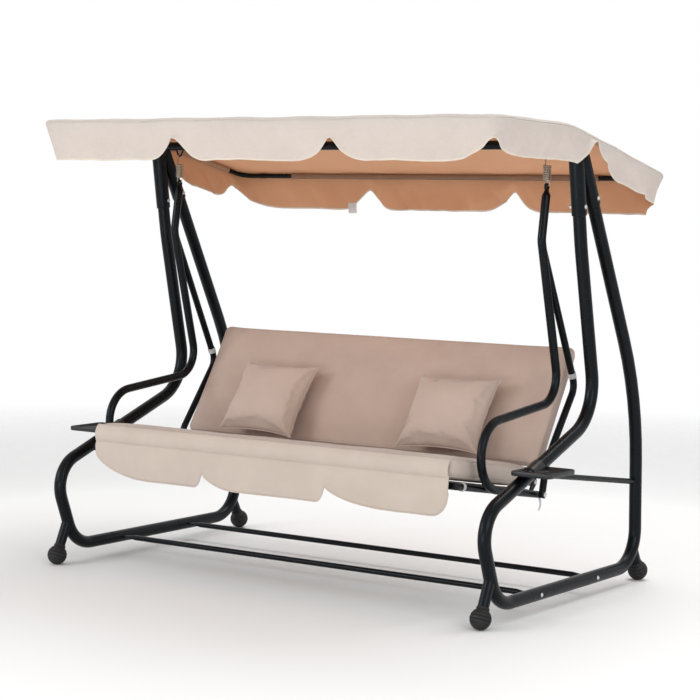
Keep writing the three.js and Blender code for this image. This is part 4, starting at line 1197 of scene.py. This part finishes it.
def cushion(name, low, high, corner, place, body, node_name, material, upright):
    """A boxed cushion: foam swollen a little by cloth under pressure, with corded seams on both edges."""
    slack = 0.005
    thin = 1 if upright else 2
    made = rounded_box([v + slack for v in low], [v - slack for v in high], corner - slack)
    made.name = name
    remeshed(made, 0.012)
    inflate(made, 4.0, 20, 0.010)
    subdivided(made)
    soften(made, 0.0032, 5.0, thin)
    filled_out(made, low, high)
    clad(made, material)
    flat = [i for i in range(3) if i != thin]
    reach = [low[i] + EDGE_INSET for i in flat], [high[i] - EDGE_INSET for i in flat]
    seams = []
    for part, level in (("lower", low[thin] + SEAM_INSET), ("upper", high[thin] - SEAM_INSET)):
        path = edge_path(*reach, corner, level, upright)
        seams.append(seam_on(made, f"{name}_{part}_seam", path, material))
    for piece in (made, *seams):
        piece.data.transform(place)
        ride(piece, body, "seat_fabric")
    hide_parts(node_name)
    return made


PILLOW_HALF = (0.172, 0.152)
PILLOW_THICK = 0.130
PILLOWS = (("left", -0.384, 0.022), ("right", 0.416, -0.010))
PILLOW_Y = -0.1455
PILLOW_Z = 0.1665
PILLOW_CELLS = 56


def pillow_sheet(cells):
    """Both faces of a pillow with pointed corners, joined at a thin seam; also the seam's points in order."""
    stops = np.sin(np.linspace(-0.5, 0.5, cells + 1) * math.pi) * 0.35 + np.linspace(-1, 1, cells + 1) * 0.65
    points, where = [], {}
    for face in (-1, 1):
        for i, u in enumerate(stops):
            for j, v in enumerate(stops):
                rim = i in (0, cells) or j in (0, cells)
                if rim and (i, j, 1) in where:
                    continue
                waist_x = 1 - 0.075 * (1 - v * v)
                waist_z = 1 - 0.075 * (1 - u * u)
                swell = ((1 - u * u) * (1 - v * v)) ** 0.46
                x, z = PILLOW_HALF[0] * u * waist_x, PILLOW_HALF[1] * v * waist_z
                where[i, j, 1 if rim else face] = len(points)
                points.append((x, face * swell * (PILLOW_THICK / 2 - 0.010), z))
    faces = []
    for face in (-1, 1):
        for i in range(cells):
            for j in range(cells):
                ring = [(i, j), (i + 1, j), (i + 1, j + 1), (i, j + 1)]
                corner = [where[a, b, 1 if a in (0, cells) or b in (0, cells) else face] for a, b in ring]
                faces.append(tuple(corner if face < 0 else corner[::-1]))
    loop = [(i, 0) for i in range(cells)] + [(cells, j) for j in range(cells)]
    loop += [(i, cells) for i in range(cells, 0, -1)] + [(0, j) for j in range(cells, 0, -1)]
    return points, faces, [where[i, j, 1] for i, j in loop]


PILLOW_LEAN = -0.05


def pillow(side, x, roll):
    points, faces, rim = pillow_sheet(PILLOW_CELLS)
    made = Shape(points, faces).piece(f"{side}_scatter_pillow", PILLOW_CLOTH, recalculated=False)
    crumple(made, side)
    inflate(made, 4.0, 20, 0.012, tension=12.0, bending=0.2)
    reach = (PILLOW_HALF[0], PILLOW_THICK / 2, PILLOW_HALF[1])
    filled_out(made, [-v for v in reach], reach)
    seam_line = [Vector(p) for p in coordinates(made)[rim]]
    subdivided(made)
    clad(made, PILLOW_CLOTH)
    seam = Shape(*sweep(seam_line[::2], 0.0019, 8, closed=True)).piece(f"{side}_pillow_seam", PILLOW_CLOTH)
    weave_map(seam)
    tilt = Matrix.Rotation(PILLOW_LEAN, 4, "X") @ Matrix.Rotation(roll, 4, "Y")
    place = BACK_PLACE @ Matrix.Translation((x, PILLOW_Y, PILLOW_Z)) @ tilt
    for piece in (made, seam):
        piece.data.transform(place)
        ride(piece, "backrest", "pillow_fabric")
    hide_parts(f"{side}_pillow")


def crumple(piece, side):
    """Puckers that run in from the seam, deepest along the lower edge and at the corners."""
    points = coordinates(piece)
    seed = 4.0 if side == "left" else 11.0
    for i, (x, y, z) in enumerate(points):
        u, v = x / PILLOW_HALF[0], z / PILLOW_HALF[1]
        edge = max(abs(u), abs(v)) ** 5
        across = x if abs(v) > abs(u) else z
        pucker = noise.noise(Vector((across * 38, seed, math.copysign(2, y)))) * edge * (1 - edge)
        lump = noise.noise(Vector((x * 9, z * 9, seed)))
        points[i, 1] += math.copysign(1, y) * (0.016 * pucker + 0.005 * lump * (1 - edge)) * (abs(y) > 1e-6)
    move_to(piece, points)


SKIRT_HALF = 0.765
SKIRT_TOP_Z = 0.532
SKIRT_SEAM_Z = 0.470
SKIRT_LOW_Z = 0.342
SKIRT_Y = -0.5165
# Each scallop runs from x to x; then how far its ends stay above the lowest line, and the shares that its
# fall and its last bend take.
SCALLOPS = ((-SKIRT_HALF, -0.268, 0.095, 0.066, 0.52, 0.07), (-0.268, 0.268, 0.066, 0.066, 0.28, 0.07),
            (0.268, SKIRT_HALF, 0.066, 0.078, 0.52, 0.13))


def skirt_low(x):
    """The scalloped edge: each scallop falls gently from its left end and comes up short at its right."""
    for left, right, rise_left, rise_right, fall, bend in SCALLOPS:
        if x <= right:
            break
    u = limited((x - left) / (right - left))
    gentle = 1 - math.sin(min(1.0, u / fall) * math.pi / 2) ** 0.48
    short = 1 - math.sqrt(max(0.0, 1 - (max(0.0, u - 1 + bend) / bend) ** 2))
    return SKIRT_LOW_Z + max(rise_left * gentle, rise_right * short)


SKIRT_COLUMNS = 260
SKIRT_BAND_ROWS = 14
SKIRT_FALL_ROWS = 18
SKIRT_ROWS = SKIRT_BAND_ROWS + SKIRT_FALL_ROWS + 1


def skirt_column(x):
    """One upright line of the skirt: the stuffed band, then the fall."""
    low = skirt_low(x)
    slow = noise.noise(Vector((x * 4.2, 5.0, 0.0)))
    quick = noise.noise(Vector((x * 17.0, 9.0, 0.0)))
    points = []
    for p in (k / SKIRT_BAND_ROWS for k in range(SKIRT_BAND_ROWS + 1)):
        puff = (0.0085 + 0.0015 * quick) * math.sin(math.pi * p) ** 0.7
        z = SKIRT_TOP_Z + (SKIRT_SEAM_Z - SKIRT_TOP_Z) * p
        points.append((x, SKIRT_Y + 0.012 * (1 - p) ** 3 - puff, z))
    for p in (k / SKIRT_FALL_ROWS for k in range(1, SKIRT_FALL_ROWS + 1)):
        puff = 0.0035 * math.sin(math.pi * p) ** 0.8
        fold = p**1.3 * (0.008 * slow + 0.002 * quick)
        points.append((x, SKIRT_Y - puff + fold - 0.002 * p, SKIRT_SEAM_Z + (low - SKIRT_SEAM_Z) * p))
    return points


def seat_skirt():
    """The front valance: a softly stuffed band over the cushion's edge, a seam, and a scalloped fall."""
    columns = [skirt_column(-SKIRT_HALF + 2 * SKIRT_HALF * i / SKIRT_COLUMNS)
               for i in range(SKIRT_COLUMNS + 1)]
    shape = Shape([p for column in columns for p in column], grid_faces(len(columns), SKIRT_ROWS))
    made = shape.piece("seat_valance", SEAT_CLOTH, recalculated=False)
    thickened(made, 0.0026)
    smoothed(made)
    weave_map(made)
    ride(made, "seat", "seat_fabric", "seat_skirt")
    seam_path = [Vector(column[SKIRT_BAND_ROWS]) + Vector((0, -0.0008, 0)) for column in columns[::2]]
    seam = sewn(Shape(*sweep(seam_path, 0.0014, 8)), "seat_valance_seam", SEAT_CLOTH, "seat", "seat_fabric")
    low_path = [column[-1] for column in columns]
    hem = sewn(Shape(*sweep(low_path, 0.0021, 8)), "seat_valance_hem", SEAT_CLOTH, "seat", "seat_fabric")


# ---------------------------------------------------------------- slings
def sling_section(tubes, radius, depth):
    """Half round one tube, across with a dip of depth, and half round the other."""
    first, second = tubes
    wrap = [math.radians(-60 + 150 * k / 12) for k in range(13)]
    section = [(first - radius * math.cos(a), radius * math.sin(a)) for a in wrap]
    for t in (k / 24 for k in range(1, 24)):
        section.append((first + (second - first) * t, radius - depth * math.sin(math.pi * t)))
    return section + [(second + radius * math.cos(a), radius * math.sin(a)) for a in wrap[::-1]]


def wrapped_sling(name, run, section, place, body, node_name, along_x):
    """A sling stretched between two parallel tubes and wrapped half round each."""
    low, high = run
    count = 90 if along_x else 40
    points = []
    for t in (low + (high - low) * i / count for i in range(count + 1)):
        points += [(t, a, b) if along_x else (a, -b, t) for a, b in section]
    faces = [face[::-1] for face in grid_faces(count + 1, len(section))]
    made = Shape(points, faces).piece(name, SLING_CLOTH, recalculated=False, place=place)
    thickened(made, 0.0012, offset=0)
    smoothed(made)
    weave_map(made)
    ride(made, body, "sling_fabric", node_name)


SLING_CLEAR = 0.0012
SEAT_SLING_X = (-0.745, 0.745)
BACK_SLING_Z = (0.060, 0.410)


def slings():
    section = sling_section((0.0, SEAT_DEPTH), SEAT_RAIL_R + SLING_CLEAR, 0.003)
    wrapped_sling("seat_sling_cloth", SEAT_SLING_X, section,
                  SEAT_PLACE, "seat", "seat_sling", True)
    section = sling_section((-BACK_TUBE_X, BACK_TUBE_X), BACK_TUBE_R + SLING_CLEAR, 0.0)
    wrapped_sling("backrest_sling_cloth", BACK_SLING_Z, section,
                  BACK_PLACE, "backrest", "backrest_sling", False)


TIE_Y = 0.030
TIE_END = (0.795, 0.018, 0.352)
TIE_DROP = 0.050


def ties():
    """White tapes that tie the cushion to the side rails, with one loose end hanging each side."""
    wound, skin = SEAT_RAIL_R + 0.0018, SEAT_RAIL_R + 0.0006
    rows = [(-0.007, skin), (-0.0065, wound), (0.0065, wound), (0.007, skin)]
    axis = SEAT_PLACE.to_3x3() @ Vector((0, 1, 0))
    for side, s in SIDES:
        centre = SEAT_PLACE @ Vector((s * SEAT_RAIL_X, TIE_Y, 0.0))
        shape = Shape(*turned(rows, centre, axis, 32))
        sewn(shape, f"{side}_cushion_tie", WEBBING, "seat", "seat_fabric")
        tie_end(side, s)


def tie_end(side, s):
    """A loose end of tape."""
    x, y, z = TIE_END
    half, thick, rows = 0.006, 0.0007, 12
    rings = []
    for part in (k / rows for k in range(rows + 1)):
        centre = Vector((s * (x + 0.006 * math.sin(part * 3.4)), y + 0.004 * part, z - TIE_DROP * part))
        rings.append(tape_ring(centre, Vector((0, half, 0)), Vector((thick, 0, 0))))
    sewn(Shape(*loft(rings)), f"{side}_tie_end", WEBBING, "seat", "seat_fabric")


CUSHION_LOW = (-CUSHION_HALF_WIDTH, -0.022, 0.0156)
CUSHION_HIGH = (CUSHION_HALF_WIDTH, 0.491, 0.102)
BACK_PAD_LOW = (-BACK_PAD_HALF_WIDTH, -0.079, 0.040)
BACK_PAD_HIGH = (BACK_PAD_HALF_WIDTH, -0.0141, 0.503)


def soft_parts():
    seat_pad = cushion("seat_pad", CUSHION_LOW, CUSHION_HIGH, 0.026, SEAT_PLACE, "seat", "seat_cushion",
                       SEAT_CLOTH, False)
    cushion("backrest_pad", BACK_PAD_LOW, BACK_PAD_HIGH, 0.020, BACK_PLACE, "backrest", "backrest_cushion",
            BACK_CLOTH, True)
    for side, x, roll in PILLOWS:
        pillow(side, x, roll)
    seat_skirt()
    slings()
    ties()


# ---------------------------------------------------------------- stage
def area_light(name, place, towards, size, power):
    data = bpy.data.lights.new(name, "AREA")
    data.shape = "RECTANGLE"
    data.size, data.size_y = size
    data.energy = power
    made = linked(name, data)
    made.location = place
    made.rotation_euler = (Vector(towards) - Vector(place)).to_track_quat("-Z", "Y").to_euler()


def floor():
    """A pale disc that fades out well away from the bench."""
    made, tree, shader = principled("studio_floor")
    length = node(tree, "ShaderNodeVectorMath", {0: object_point(tree)}, operation="LENGTH")
    fade = node(tree, "ShaderNodeMapRange", {"Value": length.outputs["Value"], "From Min": 2.2,
                                             "From Max": 6.0, "To Min": 1.0, "To Max": 0.0})
    fill_in(tree, shader, {"Base Color": (0.86, 0.86, 0.86, 1), "Roughness": 0.7, "Alpha": fade.outputs[0]})
    shape = Shape(*turned([(-0.002, 12.0), (0.0, 12.0)], (0, 0, -0.0005), (0, 0, 1), 96))
    shape.piece("studio_floor", made)


CAMERA_PLACE = (4.278, -6.078, 1.393)
CAMERA_YAW, CAMERA_PITCH, CAMERA_ROLL = (math.radians(a) for a in (35.11, 4.44, 0.685))


def camera():
    """Seen from the front right at about head height, with a slightly long lens."""
    yaw, pitch, roll = CAMERA_YAW, CAMERA_PITCH, CAMERA_ROLL
    data = bpy.data.cameras.new("camera")
    data.sensor_width = 36.0
    data.lens = 105.1
    made = linked("camera", data)
    ahead = Vector((-math.sin(yaw) * math.cos(pitch), math.cos(yaw) * math.cos(pitch), -math.sin(pitch)))
    level = Vector((math.cos(yaw), math.sin(yaw), 0))
    up = level.cross(ahead)
    right = level * math.cos(roll) + up * math.sin(roll)
    turned_up = up * math.cos(roll) - level * math.sin(roll)
    turn = Matrix((right, turned_up, -ahead)).transposed().to_4x4()
    made.matrix_world = Matrix.Translation(CAMERA_PLACE) @ turn
    bpy.context.scene.camera = made


LIGHTS = (("key_softbox", (-3.2, -5.2, 2.8), (0, 0, 0.8), (2.6, 2.0), 100),
          ("fill_softbox", (4.5, -2.4, 2.4), (0, 0, 0.8), (2.5, 2.5), 50),
          ("top_softbox", (0.6, 1.6, 4.8), (0, 0, 1.0), (3.0, 2.4), 110),
          ("low_softbox", (0.8, -4.5, 0.35), (0, 0, 1.6), (3.0, 0.6), 28))


def studio():
    """Soft lights and an even sky, which is a little brighter where it is seen than where it lights."""
    world = bpy.data.worlds.new("studio")
    bpy.context.scene.world = world
    world.use_nodes = True
    tree = world.node_tree
    lighting = tree.nodes["Background"]
    fill_in(tree, lighting, {"Color": (1.0, 1.0, 1.0, 1), "Strength": 0.76})
    backdrop = node(tree, "ShaderNodeBackground", {"Color": (1, 1, 1, 1), "Strength": 1.0})
    seen = node(tree, "ShaderNodeLightPath").outputs["Is Camera Ray"]
    mixed_shaders(tree, seen, lighting, backdrop, "World Output")
    bpy.context.scene.view_settings.view_transform = "Standard"
    for name, place, towards, size, power in LIGHTS:
        area_light(name, place, towards, size, power)


# ---------------------------------------------------------------- the whole bench
def paint_small_plates():
    """The frame's own lugs and plates stay as they are and take the frame's paint."""
    for side, _ in SIDES:
        for name in (f"{side}_recline_lug", f"canopy_{side}_plate"):
            for material_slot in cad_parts[name].material_slots:
                material_slot.material = PAINT


camera()
studio()
floor()
paint_small_plates()
stand()
bench_frame()
canopy()
soft_parts()
